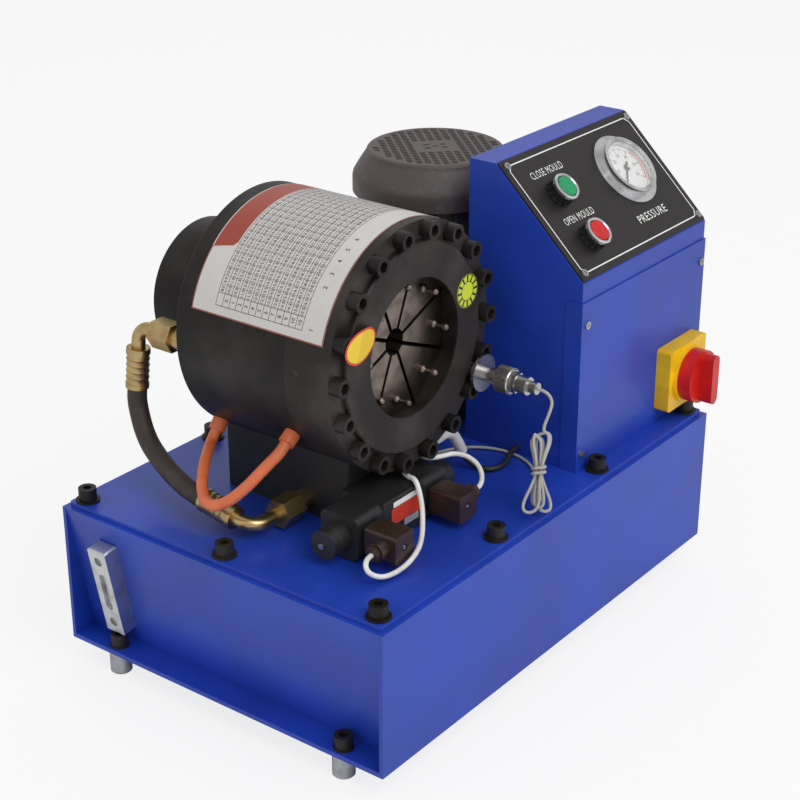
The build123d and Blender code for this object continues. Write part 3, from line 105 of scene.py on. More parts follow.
class CrimperColours(bpy.types.PropertyGroup):
    frame_blue: colour(
        "Frame blue", "Sprayed enamel of the tank and cabinet", (0.010, 0.047, 0.41))
    head_black: colour(
        "Head black", "Oiled black oxide of the crimping head", (0.013, 0.0105, 0.0095))
    die_steel: colour("Die steel", "Hardened and ground die segments", (0.27, 0.22, 0.19))
    fitting_gold: colour(
        "Fitting gold", "Yellow passivated zinc of the hose fittings", (0.58, 0.42, 0.20))
    return_orange: colour(
        "Return hose orange", "Plastic of the thin return hose", (0.72, 0.17, 0.06))
    switch_yellow: colour("Switch yellow", "Plate of the main switch", (0.95, 0.56, 0.006))
    signal_red: colour("Signal red", "Knob and open button", (0.60, 0.009, 0.005))
    signal_green: colour("Signal green", "Close button", (0.01, 0.30, 0.11))
    label_red: colour("Label red", "Header band of the chart", (0.33, 0.052, 0.030))


class CrimperSizes(bpy.types.PropertyGroup):
    chart_columns: bpy.props.IntProperty(
        name="Chart columns", description="Figures along each row of the die chart",
        default=27, min=4, max=34)
    chart_lift: bpy.props.FloatProperty(
        name="Label thickness", description="How far the chart stands off the metal",
        subtype="DISTANCE", unit="LENGTH", default=0.00025)
    ferrule_grooves: bpy.props.IntProperty(
        name="Ferrule grooves", description="Crimp marks along each ferrule",
        default=5, min=1, max=12)


class CrimperStage(bpy.types.PropertyGroup):
    key_power: bpy.props.FloatProperty(
        name="Key light", description="Power of the large soft light", default=44.0, min=0)
    fill_power: bpy.props.FloatProperty(
        name="Fill light", description="Power of the lights on the shaded sides",
        default=4.5, min=0)
    world_level: bpy.props.FloatProperty(
        name="Surroundings", description="Brightness of the room around the machine",
        default=0.62, min=0)


# ---- finishes
def overload(operation, reflected=False):
    """A Python operator that adds a Math node."""
    def apply(signal, other=0.0):
        first, second = (other, signal) if reflected else (signal, other)
        return signal.owner.node(
            "ShaderNodeMath", {"operation": operation}, {0: first, 1: second})
    return apply


class Signal:
    """A socket's value on its way through a tree of nodes."""

    def __init__(self, owner, socket):
        self.owner = owner
        self.socket = socket

    __add__, __radd__ = overload("ADD"), overload("ADD", True)
    __sub__, __rsub__ = overload("SUBTRACT"), overload("SUBTRACT", True)
    __mul__, __rmul__ = overload("MULTIPLY"), overload("MULTIPLY", True)
    __truediv__, __pow__ = overload("DIVIDE"), overload("POWER")
    __gt__, __lt__ = overload("GREATER_THAN"), overload("LESS_THAN")
    __abs__, wave = overload("ABSOLUTE"), overload("SINE")

    def step(self, low, high):
        """0 below low and 1 above high, smooth between."""
        return self.owner.node(
            "ShaderNodeMapRange", {"interpolation_type": "SMOOTHSTEP"},
            {0: self, 1: low, 2: high})


class Tree:
    """A tree of nodes, made one node at a time."""

    def __init__(self, tree):
        self.tree = tree

    def feed(self, socket, value):
        if isinstance(value, Signal):
            self.tree.links.new(value.socket, socket)
        elif value is not None:
            socket.default_value = value

    def node(self, kind, settings=None, inputs=None, output=0):
        made = self.tree.nodes.new(kind)
        for key, value in (settings or {}).items():
            setattr(made, key, value)
        for key, value in (inputs or {}).items():
            self.feed(made.inputs[key], value)
        return Signal(self, made.outputs[output]) if made.outputs else None


class Finish(Tree):
    """One material, built from a few plain steps."""

    made = {}

    def __init__(self, name, colour, roughness, metallic=0.0, **fixed):
        self.material = bpy.data.materials.new(name)
        self.material.use_nodes = True
        super().__init__(self.material.node_tree)
        self.shader = self.tree.nodes["Principled BSDF"]
        self.normal = None
        fixed = {"Base_Color": (*colour, 1), "Roughness": roughness, "Metallic": metallic, **fixed}
        for socket, value in fixed.items():
            self.feed(self.shader.inputs[socket.replace("_", " ")], value)
        Finish.made[name] = self

    def place(self, centre=(0, 0, 0), scale=(1, 1, 1)):
        """Object coordinates, centred and scaled."""
        where = self.node("ShaderNodeTexCoord", output="Object")
        shift = [-c * s for c, s in zip(centre, scale)]
        return self.node(
            "ShaderNodeMapping", None, {"Vector": where, "Location": shift, "Scale": scale})

    def radius(self, centre):
        """Distance from an axis that runs to the back through a place."""
        where = self.place(centre)
        x, z = (self.node("ShaderNodeSeparateXYZ", None, {0: where}, axis) for axis in "XZ")
        return (x * x + z * z) ** 0.5

    def noise(self, patches, detail, stretch=(1, 1, 1)):
        """Soft mottling, from 0 to 1, with this many patches to a metre."""
        return self.node("ShaderNodeTexNoise", None, {
            "Vector": self.place(scale=stretch), "Scale": patches, "Detail": detail,
            "Roughness": 0.55})

    def speckle(self, specks):
        """Small round specks: the distance to the nearest one."""
        return self.node("ShaderNodeTexVoronoi", None, {"Vector": self.place(), "Scale": specks})

    def mix(self, amount, first, second):
        """A colour between two, which may be plain triples or signals."""
        ends = [c if isinstance(c, Signal) else (*c, 1) for c in (first, second)]
        return self.node(
            "ShaderNodeMix", {"data_type": "RGBA"}, {0: amount, 6: ends[0], 7: ends[1]}, 2)

    def paint(self, colour, roughness, coat=None):
        for name, value in (
                ("Base Color", colour), ("Roughness", roughness), ("Coat Weight", coat)):
            self.feed(self.shader.inputs[name], value)

    def rough_up(self, height, depth, strength):
        """A bump of this depth in metres."""
        self.normal = self.node("ShaderNodeBump", None, {
            "Height": height, "Distance": depth, "Strength": strength, "Normal": self.normal})
        self.feed(self.shader.inputs["Normal"], self.normal)


def shade(colour, amount):
    """A lighter or darker version of a colour."""
    return tuple(min(1.0, c * amount) for c in colour)


def enamel(name, colour):
    """Sprayed enamel: orange peel, a little dust and slightly uneven colour."""
    f = Finish(name, colour, 0.3, Coat_Roughness=0.12)
    cloud = f.noise(7, 4)
    dust = f.noise(160, 5)
    tone = f.mix(cloud.step(0.35, 0.7), shade(colour, 0.88), shade(colour, 1.16))
    f.paint(f.mix(dust.step(0.6, 0.82) * 0.16, tone, shade(colour, 1.7)),
            0.34 + cloud * 0.12 + dust * 0.08, coat=0.12)
    f.rough_up(f.noise(420, 1), 0.00006, 0.5)


def oiled_steel(name, colour, grain=(1, 1, 1), turned=None):
    """Oiled black oxide on machined steel, with rubbed and oily patches."""
    f = Finish(name, colour, 0.42, 0.1, Coat_Roughness=0.25, Specular_IOR_Level=0.27)
    patch = f.noise(14, 5)
    rub = f.noise(70, 6, grain)
    tone = f.mix(patch.step(0.38, 0.68), shade(colour, 0.75), shade(colour, 1.7))
    tone = f.mix(rub.step(0.62, 0.85) * 0.5, tone, shade(colour, 4.0))
    f.paint(tone, 0.34 + patch * 0.16 + rub * 0.12, coat=patch.step(0.45, 0.7) * 0.16)
    if turned:
        tool_lines = 5200
        f.rough_up((f.radius(turned) * tool_lines).wave(), 0.00002, 0.35)
    f.rough_up(f.noise(900, 2, grain), 0.00003, 0.3)


def cast_paint(name, colour):
    """Satin paint over a slightly grainy casting or pressing."""
    f = Finish(name, colour, 0.5)
    cloud = f.noise(12, 4)
    dust = f.noise(120, 5)
    tone = f.mix(cloud, shade(colour, 0.8), shade(colour, 1.35))
    f.paint(f.mix(dust.step(0.55, 0.8) * 0.35, tone, shade(colour, 3)), 0.42 + cloud * 0.15)
    f.rough_up(f.noise(700, 3), 0.00012, 0.4)


def machined(name, colour, roughness, stain=None, grain=(1, 1, 1)):
    """Bare metal with fine tool lines and darker stains."""
    f = Finish(name, colour, roughness, 1.0)
    smear = f.noise(45, 5)
    lines = f.noise(1400, 2, grain)
    tone = f.mix(smear.step(0.4, 0.75), colour, stain or shade(colour, 0.62))
    f.paint(f.mix(lines.step(0.5, 0.9) * 0.4, tone, shade(colour, 1.25)),
            roughness - 0.06 + smear * 0.16 + lines * 0.08)
    f.rough_up(lines, 0.00002, 0.35)


def plated(name, colour):
    """Zinc plate: cloudy, with small dull spots."""
    f = Finish(name, colour, 0.3, 1.0)
    cloud = f.noise(60, 5)
    f.paint(f.mix(cloud.step(0.35, 0.75), colour, shade(colour, 0.66)),
            0.22 + cloud * 0.2 + f.speckle(240) * 0.05)
    f.rough_up(f.noise(800, 2), 0.00003, 0.3)


def moulded(name, colour, roughness, grit=1500, depth=0.00003):
    """Moulded plastic or rubber with a fine grain and handling marks."""
    f = Finish(name, colour, roughness)
    cloud = f.noise(38, 4)
    f.paint(f.mix(cloud.step(0.35, 0.7), shade(colour, 0.86), shade(colour, 1.1)),
            roughness + cloud * 0.1 + f.noise(220, 4) * 0.06)
    f.rough_up(f.noise(grit, 2), depth, 0.4)


def printed(name, paper):
    """Printed film: even colour, faint creases and a soft gloss."""
    f = Finish(name, paper, 0.42)
    crease = f.noise(24, 3)
    dirt = f.noise(150, 5)
    tone = f.mix(crease, shade(paper, 0.93), shade(paper, 1.04))
    f.paint(f.mix(dirt.step(0.58, 0.85) * 0.25, tone, shade(paper, 0.6)), 0.37 + crease * 0.12)
    f.rough_up(crease, 0.0002, 0.3)


def braided(name, colour):
    """Rubber cover of the pressure hose, with the braid showing through it."""
    f = Finish(name, colour, 0.55)
    braid = f.node("ShaderNodeTexWave", {"bands_direction": "DIAGONAL"}, {
        "Vector": f.place(), "Scale": 210.0, "Distortion": 1.5, "Detail": 2.0})
    dust = f.noise(90, 5)
    f.paint(f.mix(dust.step(0.45, 0.8) * 0.6, colour, shade(colour, 2.6)), 0.48 + dust * 0.2)
    f.rough_up(braid, 0.00012, 0.35)


def glazed(name, colour):
    """Clear glass with a faint haze."""
    f = Finish(name, colour, 0.03, Alpha=0.13, IOR=1.5)
    f.paint(None, 0.02 + f.noise(60, 3) * 0.05)


# ---- making pieces
SHARP_ANGLE = radians(32)
CAPITAL_SHARE = 0.7  # a capital's height as a share of the font's size
FILM = 0.0002        # thickness of a printed label
INK_LIFT = 0.0003    # how far print lies above its label


def linked(name, data):
    """A new object in the scene, at the origin."""
    piece = bpy.data.objects.new(name, data)
    bpy.context.scene.collection.objects.link(piece)
    return piece


def coat(data, finish):
    """Give a mesh or curve its finish alone."""
    data.materials.clear()
    data.materials.append(Finish.made[finish].material)


def keep(name, mesh, finish, smooth=True, body="frame"):
    """Put a mesh, or several as one, on the machine: its finish, its shading and the body it rides
    on.
    """
    if isinstance(mesh, list):
        mesh = gather(mesh)
    piece = linked(name, mesh)
    coat(mesh, finish)
    for face in mesh.polygons:
        face.use_smooth = smooth
    if smooth:
        mesh.set_sharp_from_angle(angle=SHARP_ANGLE)
    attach(piece, body)
    return piece


def from_bmesh(bm):
    mesh = bpy.data.meshes.new("piece")
    bm.to_mesh(mesh)
    bm.free()
    return mesh


def evaluated(piece):
    """A plain mesh of an object as it shows; the object itself is removed."""
    bpy.context.view_layer.update()
    shown = piece.evaluated_get(bpy.context.evaluated_depsgraph_get())
    mesh = bpy.data.meshes.new_from_object(shown)
    bpy.data.objects.remove(piece)
    return mesh


def lettering(words, height, spacing=1.0):
    """Flat letters in a mesh, centred on the origin, this high in metres."""
    curve = bpy.data.curves.new("letters", "FONT")
    curve.body = words
    curve.size = height / CAPITAL_SHARE
    curve.space_character = spacing
    curve.align_x = "CENTER"
    curve.align_y = "CENTER"
    curve.resolution_u = 2
    return evaluated(linked("letters", curve))


def gather(meshes):
    """Several meshes as one."""
    bm = bmesh.new()
    for mesh in meshes:
        bm.from_mesh(mesh)
        bpy.data.meshes.remove(mesh)
    return from_bmesh(bm)


def shifted(mesh, x, y, z=0.0):
    mesh.transform(Matrix.Translation((x, y, z)))
    return mesh


def moved(mesh, across, up, origin):
    """Lay a flat mesh on a plane in space, its x along across and its y along up."""
    turn = Matrix((across, up, across.cross(up))).transposed().to_4x4()
    turn.translation = origin
    mesh.transform(turn)
    return mesh


def wrapped(mesh, radius, depth, start_angle):
    """Bend a flat mesh round the head: x runs over the top from start_angle, y to the back."""
    for v in mesh.vertices:
        turn = radians(start_angle) - v.co.x / HEAD_RADIUS
        x, z = polar(radius + v.co.z, turn)
        v.co = HEAD + Vector((x, depth + v.co.y, z))
    return mesh


def outline_plate(corners, steps=1, thickness=FILM):
    """A thin plate from its flat outline, divided into strips along x so that it can bend."""
    bm = bmesh.new()
    bm.faces.new([bm.verts.new((x, y, 0)) for x, y in corners])
    low = min(x for x, y in corners)
    high = max(x for x, y in corners)
    for k in range(1, steps):
        x = low + (high - low) * k / steps
        bmesh.ops.bisect_plane(
            bm, geom=bm.verts[:] + bm.edges[:] + bm.faces[:], plane_co=(x, 0, 0), plane_no=RIGHT)
    top = bmesh.ops.extrude_face_region(bm, geom=bm.faces[:])["geom"]
    raised = [g for g in top if isinstance(g, bmesh.types.BMVert)]
    bmesh.ops.translate(bm, vec=(0, 0, thickness), verts=raised)
    bmesh.ops.recalc_face_normals(bm, faces=bm.faces[:])
    return from_bmesh(bm)


def rounded(width, height, radius, steps=6):
    """Outline of a rounded rectangle centred on the origin."""
    corners = []
    for side_x, side_y, start in ((1, 1, 0), (-1, 1, 90), (-1, -1, 180), (1, -1, 270)):
        for k in range(steps + 1):
            x, y = polar(radius, radians(start + 90 * k / steps))
            corners.append((side_x * (width / 2 - radius) + x, side_y * (height / 2 - radius) + y))
    return corners


def bar(start, end, width, lift=INK_LIFT):
    """A thin straight printed line between two flat places."""
    ends = [Vector((*place, lift)) for place in (start, end)]
    along = Vector((end[0] - start[0], end[1] - start[1], 0)).normalized()
    side = Vector((-along.y, along.x, 0)) * width / 2
    bm = bmesh.new()
    bm.faces.new([bm.verts.new(v) for v in (
        ends[0] - side, ends[1] - side, ends[1] + side, ends[0] + side)])
    return from_bmesh(bm)


def strip(x0, y0, x1, y1, width, pieces=40):
    """A printed line in short lengths, so that it can bend with the sheet."""
    places = [(x0 + (x1 - x0) * n / pieces, y0 + (y1 - y0) * n / pieces)
              for n in range(pieces + 1)]
    return [bar(start, end, width) for start, end in zip(places, places[1:])]


def spokes(count, inner, outer, width):
    """Printed bars that point to a centre."""
    turns = [2 * pi * k / count for k in range(count)]
    return [bar(polar(inner, turn), polar(outer, turn), width) for turn in turns]


def disc(radius, thickness=FILM):
    return outline_plate(circle(radius, 48), 1, thickness)


def lathe(profile, steps=64):
    """A closed turned form about z from its half outline of radius and height pairs."""
    bm = bmesh.new()
    rings = []
    for radius, height in profile:
        places = [(0, 0)] if radius < 1e-6 else circle(radius, steps)
        rings.append([bm.verts.new((x, y, height)) for x, y in places])
    for lower, upper in zip(rings, rings[1:]):
        for k in range(steps):
            n = (k + 1) % steps
            corners = dict.fromkeys((lower[k % len(lower)], lower[n % len(lower)],
                                     upper[n % len(upper)], upper[k % len(upper)]))
            if len(corners) > 2:
                bm.faces.new(corners)
    bmesh.ops.recalc_face_normals(bm, faces=bm.faces[:])
    return from_bmesh(bm)


# ---- cables
# Routes in millimetres, for tank_point.
COIL_LEFT = [
    (68, 65, 23), (59, 65, 23), (54, 60, 14), (63, 51.5, 6.5), (80, 47.5, 5), (98, 45.5, 8),
    (115, 46.5, 15), (131, 54.5, 20.5), (147, 66, 24), (158.5, 75, 31), (165, 83, 42),
    (168.5, 91, 52.5), (172.5, 103, 49.5), (180, 114, 48.8), (193, 124, 48.8),
    (209, 129.7, 49.5), (226, 130.55, 52), (240, 130.55, 52)]
COIL_RIGHT = [
    (230, 65, 23), (238, 65, 23), (248, 68, 28), (252.5, 75.5, 38), (248, 86, 47),
    (237, 95, 52), (225, 99.5, 52), (216, 107, 51), (214, 116.5, 51), (219, 124, 51.5),
    (229, 125.45, 52), (240, 125.45, 52)]
LID_CABLE = [
    (297, 128.5, 21), (303.2, 128.5, 9.6), (305.5, 114, 3.3), (307, 102.5, 3.3),
    (318.5, 96.5, 3.3), (334, 96.8, 3.8), (348, 103, 8), (361, 103, 8)]
SENSOR_START = [(289.3, 34.4, 118.3), (289.3, 24.4, 118.3), (290, 17.5, 110.5), (288.5, 18.5, 100)]
SENSOR_END = [
    (283, 22, 2.2), (303, 39, 2.2), (326, 56, 2.2), (346, 76, 2.2), (356, 101, 2.2),
    (354, 128, 2.2), (340, 151, 2.2), (318, 166, 2.2), (292, 172, 2.2), (253, 172, 2.2)]
# name, solid that it stands for, route, diameter, tint
CABLES = (
    ("solenoid_cable_left_run", "solenoid_cable_left", COIL_LEFT, 0.005, "white"),
    ("solenoid_cable_right_run", "solenoid_cable_right", COIL_RIGHT, 0.005, "white"),
    ("lid_cable_run", "lid_cable", LID_CABLE, 0.006, "black"),
)

HANK_CENTRE = (270, 18, 41.5)
HANK_ALONG = Vector((0.3606, 0.2404, 0.9014)).normalized()
HANK_ACROSS = Vector((0.597, -0.801, 0)).normalized()
HANK_NORMAL = HANK_ACROSS.cross(HANK_ALONG)
HANK_PITCH = 0.0034
HANK_STEPS = 16  # points of one turn
HANK_TURNS = (
    # half length, half width, lean of the upper loops, lean of the lower loops
    (0.0400, 0.0125, 0.05, -0.22),
    (0.0350, 0.0070, -0.10, 0.04),
    (0.0390, 0.0110, 0.14, 0.20),
    (0.0330, 0.0050, 0.02, -0.06),
)
TIE_POINTS, TIE_STEPS = 24, 12
TIE_WIDE, TIE_DEEP = 0.0063, 0.0104
HANK_EXIT = ((-0.007, 0.001, -0.0112), (-0.013, 0.002, -0.012), (-0.020, 0.003, -0.0145),
             (-0.027, 0.004, -0.021))


def spline_curve(name, points, resolution):
    """A smooth line that these points control."""
    curve = bpy.data.curves.new(name, "CURVE")
    curve.dimensions = "3D"
    curve.resolution_u = resolution
    spline = curve.splines.new("NURBS")
    spline.points.add(len(points) - 1)
    for place, point in zip(spline.points, points):
        place.co = (*point, 1)
    spline.order_u = 3
    spline.use_endpoint_u = True
    return curve


def spline_length(points):
    mesh = evaluated(linked("measure", spline_curve("measure", points, 16)))
    ends = [[mesh.vertices[v].co for v in edge.vertices] for edge in mesh.edges]
    total = sum((a - b).length for a, b in ends)
    bpy.data.meshes.remove(mesh)
    return total


def flexible(name, stands_for, points, diameter, tint):
    """One cable as a smooth spline through its route; its length is measured but not kept."""
    curve = spline_curve(name, points, 8)
    curve.bevel_depth = diameter / 2
    curve.bevel_resolution = 5
    curve.use_fill_caps = True
    coat(curve, f"{tint}_sheath")
    piece = linked(name, curve)
    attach(piece, "frame")
    spline_length(points)
    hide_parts(*stands_for)


def hank_place(along, across, out):
    """A place in the hank, in metres from the middle of its tie."""
    middle = tank_point(*HANK_CENTRE)
    return middle + HANK_ALONG * along + HANK_ACROSS * across + HANK_NORMAL * out


def sensor_route():
    """The thin lead: down from the sensor, round the hank and its tie, and over the lid."""
    route = [tank_point(*p) for p in SENSOR_START]
    for k in range(len(HANK_TURNS) * HANK_STEPS - HANK_STEPS // 4 + 1):
        n, angle = divmod(k, HANK_STEPS)
        length, width, upper, lower = HANK_TURNS[n]
        angle *= 2 * pi / HANK_STEPS
        u = length * cos(angle)
        pinch = 0.0017 / width + 1.45 * cos(angle) ** 2
        across = sin(angle) * width * pinch + (upper if u > 0 else lower) * abs(u)
        route.append(hank_place(u, across, (2 - k / HANK_STEPS) * HANK_PITCH))
    route[-1] += HANK_ALONG * 0.004
    route.append(hank_place(0.008, -0.002, -TIE_DEEP))
    for k in range(1, TIE_POINTS + 1):
        turn = 2 * pi * k / TIE_STEPS - pi / 2
        wide, deep = (abs(f(turn)) ** 0.6 * (1 if f(turn) > 0 else -1) for f in (cos, sin))
        route.append(hank_place(0.0065 - 0.0004 * k, TIE_WIDE * wide, TIE_DEEP * deep))
    route += [hank_place(*place) for place in HANK_EXIT]
    return route + [tank_point(*p) for p in SENSOR_END]


class CRIMPER_OT_cables(bpy.types.Operator):
    """Lay the thin cables of the solenoids, the lid and the stop's sensor"""
    bl_idname = "crimper.cables"
    bl_label = "Cables"

    def execute(self, context):
        for name, solid, route, diameter, tint in CABLES:
            flexible(name, [solid], [tank_point(*p) for p in route], diameter, tint)
        flexible("sensor_lead", ["sensor_cable", "sensor_cable_hank", "sensor_cable_tail"],
                 sensor_route(), 0.0032, "grey")
        return {"FINISHED"}


# ---- finishes of the solid pieces
WEARS = {
    "frame_enamel": ["tank_shell", "tank_lid", "control_cabinet", "cabinet_cover"],
    "head_oxide": ["head_barrel", "rear_cylinder"],
    # The front ring: the head's black oxide with painted light on its face.
    "face_oxide": ["front_ring"],
    "bolt_oxide": ["ring_bolts", "tank_bolts"],
    "motor_paint": ["motor_housing", "fan_cowl"],
    "saddle_paint": ["head_saddle", "valve_body"],
    "turned_steel": ["piston", "stop_rod", "size_dial", "valve_spool", "stop_sensor"],
    "zinc_plate": ["feet", "cabinet_screws"],
    "gold_zinc": ["hose_fittings"],
    "milled_aluminium": ["level_gauge", "pump_body"],
    "hose_cover": ["pressure_hose"],
    "return_plastic": ["return_hose"],
    "coil_case": ["valve_coils", "motor_rotor"],
    "plug_case": ["coil_plugs"],
    "panel_black": ["control_panel", "gauge_needle"],
    "bezel_chrome": ["gauge_case", "button_bezels"],
    "clear_glass": ["gauge_glass"],
    "signal_green": ["close_button"],
    "signal_red": ["open_button", "switch_knob"],
    "switch_yellow": ["switch_plate"],
    "grey_sheath": ["sensor_cable", "sensor_cable_hank", "sensor_cable_tail"],
    "white_sheath": ["cable_sleeve"],
    "die_face": [f"master_die_{k}" for k in range(1, 9)],
    "insert_face": [f"die_insert_{k}" for k in range(1, 9)],
}


class CRIMPER_OT_finishes(bpy.types.Operator):
    """Give every solid piece its finish"""
    bl_idname = "crimper.finishes"
    bl_label = "Finishes"

    def execute(self, context):
        colours = context.scene.crimper_colours
        steel = colours.die_steel
        enamel("frame_enamel", colours.frame_blue)
        oiled_steel("head_oxide", colours.head_black, (1, 0.08, 1))
        # Painted light: the front ring wears the head's black oxide made 2.1 times lighter,
        # standing in for the light that falls on its face.
        oiled_steel("face_oxide", shade(colours.head_black, 2.1), turned=tuple(HEAD))
        oiled_steel("bolt_oxide", shade(colours.head_black, 1.1))
        cast_paint("motor_paint", (0.074, 0.058, 0.056))
        cast_paint("saddle_paint", (0.012, 0.012, 0.013))
        machined("die_face", steel, 0.34, shade(steel, 0.42))
        machined("insert_face", shade(steel, 1.25), 0.3, shade(steel, 0.5))
        machined("turned_steel", (0.56, 0.55, 0.54), 0.22, grain=(0.2, 1, 0.2))
        machined("pin_steel", (0.72, 0.70, 0.67), 0.16)
        machined("milled_aluminium", (0.66, 0.67, 0.68), 0.34)
        machined("bezel_chrome", (0.75, 0.75, 0.76), 0.12)
        plated("zinc_plate", (0.55, 0.56, 0.57))
        plated("gold_zinc", colours.fitting_gold)
        braided("hose_cover", (0.034, 0.025, 0.020))
        moulded("return_plastic", colours.return_orange, 0.3)
        moulded("coil_case", (0.014, 0.014, 0.015), 0.42, 900, 0.00008)
        moulded("plug_case", (0.036, 0.020, 0.013), 0.22)
        moulded("plug_black", (0.012, 0.012, 0.012), 0.3)
        moulded("white_sheath", (0.78, 0.77, 0.74), 0.38)
        moulded("grey_sheath", (0.42, 0.41, 0.39), 0.4)
        moulded("black_sheath", (0.016, 0.016, 0.016), 0.4)
        moulded("switch_yellow", colours.switch_yellow, 0.3)
        moulded("signal_red", colours.signal_red, 0.26)
        moulded("signal_green", colours.signal_green, 0.26)
        moulded("panel_black", (0.013, 0.0102, 0.0096), 0.4)
        printed("panel_white", (0.86, 0.86, 0.84))
        printed("chart_paper", (0.62, 0.60, 0.58))
        printed("chart_red", colours.label_red)
        printed("chart_edge", (0.30, 0.085, 0.06))
        printed("print_black", (0.02, 0.02, 0.02))
        # The valve label's foot strip is white; this grey is painted shade, for the less lit face
        # that the strip lies on.
        printed("label_grey", (0.36, 0.37, 0.38))
        printed("sticker_yellow", (0.86, 0.60, 0.03))
        printed("sticker_lime", (0.60, 0.68, 0.04))
        printed("sticker_red", (0.66, 0.05, 0.02))
        glazed("clear_glass", (0.95, 0.97, 0.98))
        for finish, nodes in WEARS.items():
            for node in nodes:
                coat(NODES[node].data, finish)
        return {"FINISHED"}


# ---- labels on the head
CHART_START, CHART_FRONT = 163.0, 0.015   # its first edge's angle, and its place behind the face
CHART_LENGTH, CHART_WIDTH = 0.256, 0.158  # round the head, and towards the back
CHART_TAB, CHART_BAND = 0.062, 0.026      # where the header begins, and how deep it is
CHART_ROWS = 13
TABLE_LEFT, TABLE_RIGHT = 0.0095, CHART_LENGTH - 0.012
TABLE_LOW, TABLE_HIGH = 0.026, 0.130
FIRST_COLUMN = TABLE_LEFT + 0.012
RULE, FINE_RULE = 0.0005, 0.00028         # thickness of the table's lines
EDGE, EDGE_RULE = 0.0006, 0.0013          # the sheet's printed edge
NOTE_PLACES = (0.012, 0.052, 0.066, 0.080, 0.094, 0.108)


class CRIMPER_OT_chart(bpy.types.Operator):
    """Stick the die chart with its figures over the top of the head"""
    bl_idname = "crimper.chart"
    bl_label = "Die chart"

    def execute(self, context):
        sizes = context.scene.crimper_sizes

        def wrap(mesh, name, finish, smooth=False):
            bent = wrapped(mesh, HEAD_RADIUS + sizes.chart_lift, CHART_FRONT, CHART_START)
            keep(name, bent, finish, smooth)

        wrap(outline_plate([(0, 0), (CHART_LENGTH, 0), (CHART_LENGTH, CHART_WIDTH),
                            (0, CHART_WIDTH)], 48),
             "chart_sheet", "chart_paper", True)
        top, end = CHART_WIDTH - 0.0012, CHART_LENGTH - 0.0012
        foot = CHART_WIDTH - CHART_BAND
        header = [(CHART_TAB, top), (CHART_TAB + 0.003, CHART_WIDTH - 0.012),
                  (CHART_TAB + 0.006, foot + 0.003), (CHART_TAB + 0.010, foot),
                  (end, foot), (end, top)]
        wrap(shifted(outline_plate(header, 40), 0, 0, 0.0001),
             "chart_band", "chart_red", True)

        row_height = (TABLE_HIGH - TABLE_LOW) / CHART_ROWS
        column = (TABLE_RIGHT - FIRST_COLUMN) / sizes.chart_columns
        lines, figures = [], []
        for k in range(CHART_ROWS + 1):
            y = TABLE_LOW + k * row_height
            lines += strip(TABLE_LEFT, y, TABLE_RIGHT, y, RULE)
        for x in [TABLE_LEFT] + [FIRST_COLUMN + k * column for k in range(sizes.chart_columns + 1)]:
            width = FINE_RULE if x > FIRST_COLUMN + column / 2 else RULE
            lines.append(bar((x, TABLE_LOW), (x, TABLE_HIGH), width))

        def write(text, x, y, height):
            figures.append(shifted(lettering(text, height), x, y, 0.0004))

        for row in range(CHART_ROWS):
            y = TABLE_LOW + (row + 0.5) * row_height
            steps_up = CHART_ROWS - 2 - row
            if row < CHART_ROWS - 1:
                write(str(min(10, steps_up)), (TABLE_LEFT + FIRST_COLUMN) / 2, y, 0.0040)
            for k in range(sizes.chart_columns):
                value = 8 + k if row == CHART_ROWS - 1 else 10 + k + steps_up * 0.5
                write(f"{value:.1f}", FIRST_COLUMN + (k + 0.5) * column, y, 0.0033)
        for k, x in enumerate(NOTE_PLACES, 1):
            write(str(k), x, TABLE_LOW - 0.010, 0.0046)
        wrap(gather(lines), "chart_lines", "print_black")
        wrap(gather(figures), "chart_figures", "print_black")
        back = CHART_WIDTH - EDGE
        rim = strip(EDGE, EDGE, CHART_LENGTH, EDGE, EDGE_RULE)
        rim += strip(EDGE, 0, EDGE, CHART_WIDTH, EDGE_RULE, 1)
        rim += strip(0, back, CHART_TAB, back, EDGE_RULE, 12)
        rim += strip(CHART_TAB, CHART_WIDTH, CHART_TAB + 0.006, foot + 0.003, 0.0009, 4)
        wrap(gather(rim), "chart_rim", "chart_edge")
        return {"FINISHED"}


OVAL_RINGS, OVAL_STEPS = 14, 56
OVAL_LEAN = radians(160)
LEAN_START, LEAN_RUN, LEAN_RISE = 0.068, 0.0305, 0.0073


def oval_seal(half_wide, half_high, lift):
    """An oval seal that leans from the raised face over the screw head beside it."""
    bm = bmesh.new()
    rows = [[bm.verts.new((0, 0, 0))]]
    for n in range(1, OVAL_RINGS + 1):
        rows.append([bm.verts.new((half_wide * x, half_high * y, 0))
                     for x, y in circle(n / OVAL_RINGS, OVAL_STEPS)])
    for inner, outer in zip(rows, rows[1:]):
        for k in range(OVAL_STEPS):
            n = (k + 1) % OVAL_STEPS
            bm.faces.new(dict.fromkeys(
                (inner[k % len(inner)], outer[k], outer[n], inner[n % len(inner)])))
    spot = head_point(159.5, 0.0935, 0)
    for v in bm.verts:
        x, z = spot.x - HEAD.x + v.co.x, spot.z - HEAD.z + v.co.y
        along = x * cos(OVAL_LEAN) + z * sin(OVAL_LEAN)
        rise = LEAN_RISE * min(1, max(0, (along - LEAN_START) / LEAN_RUN))
        v.co = HEAD + Vector((x, -0.0002 - lift - rise, z))
    return from_bmesh(bm)


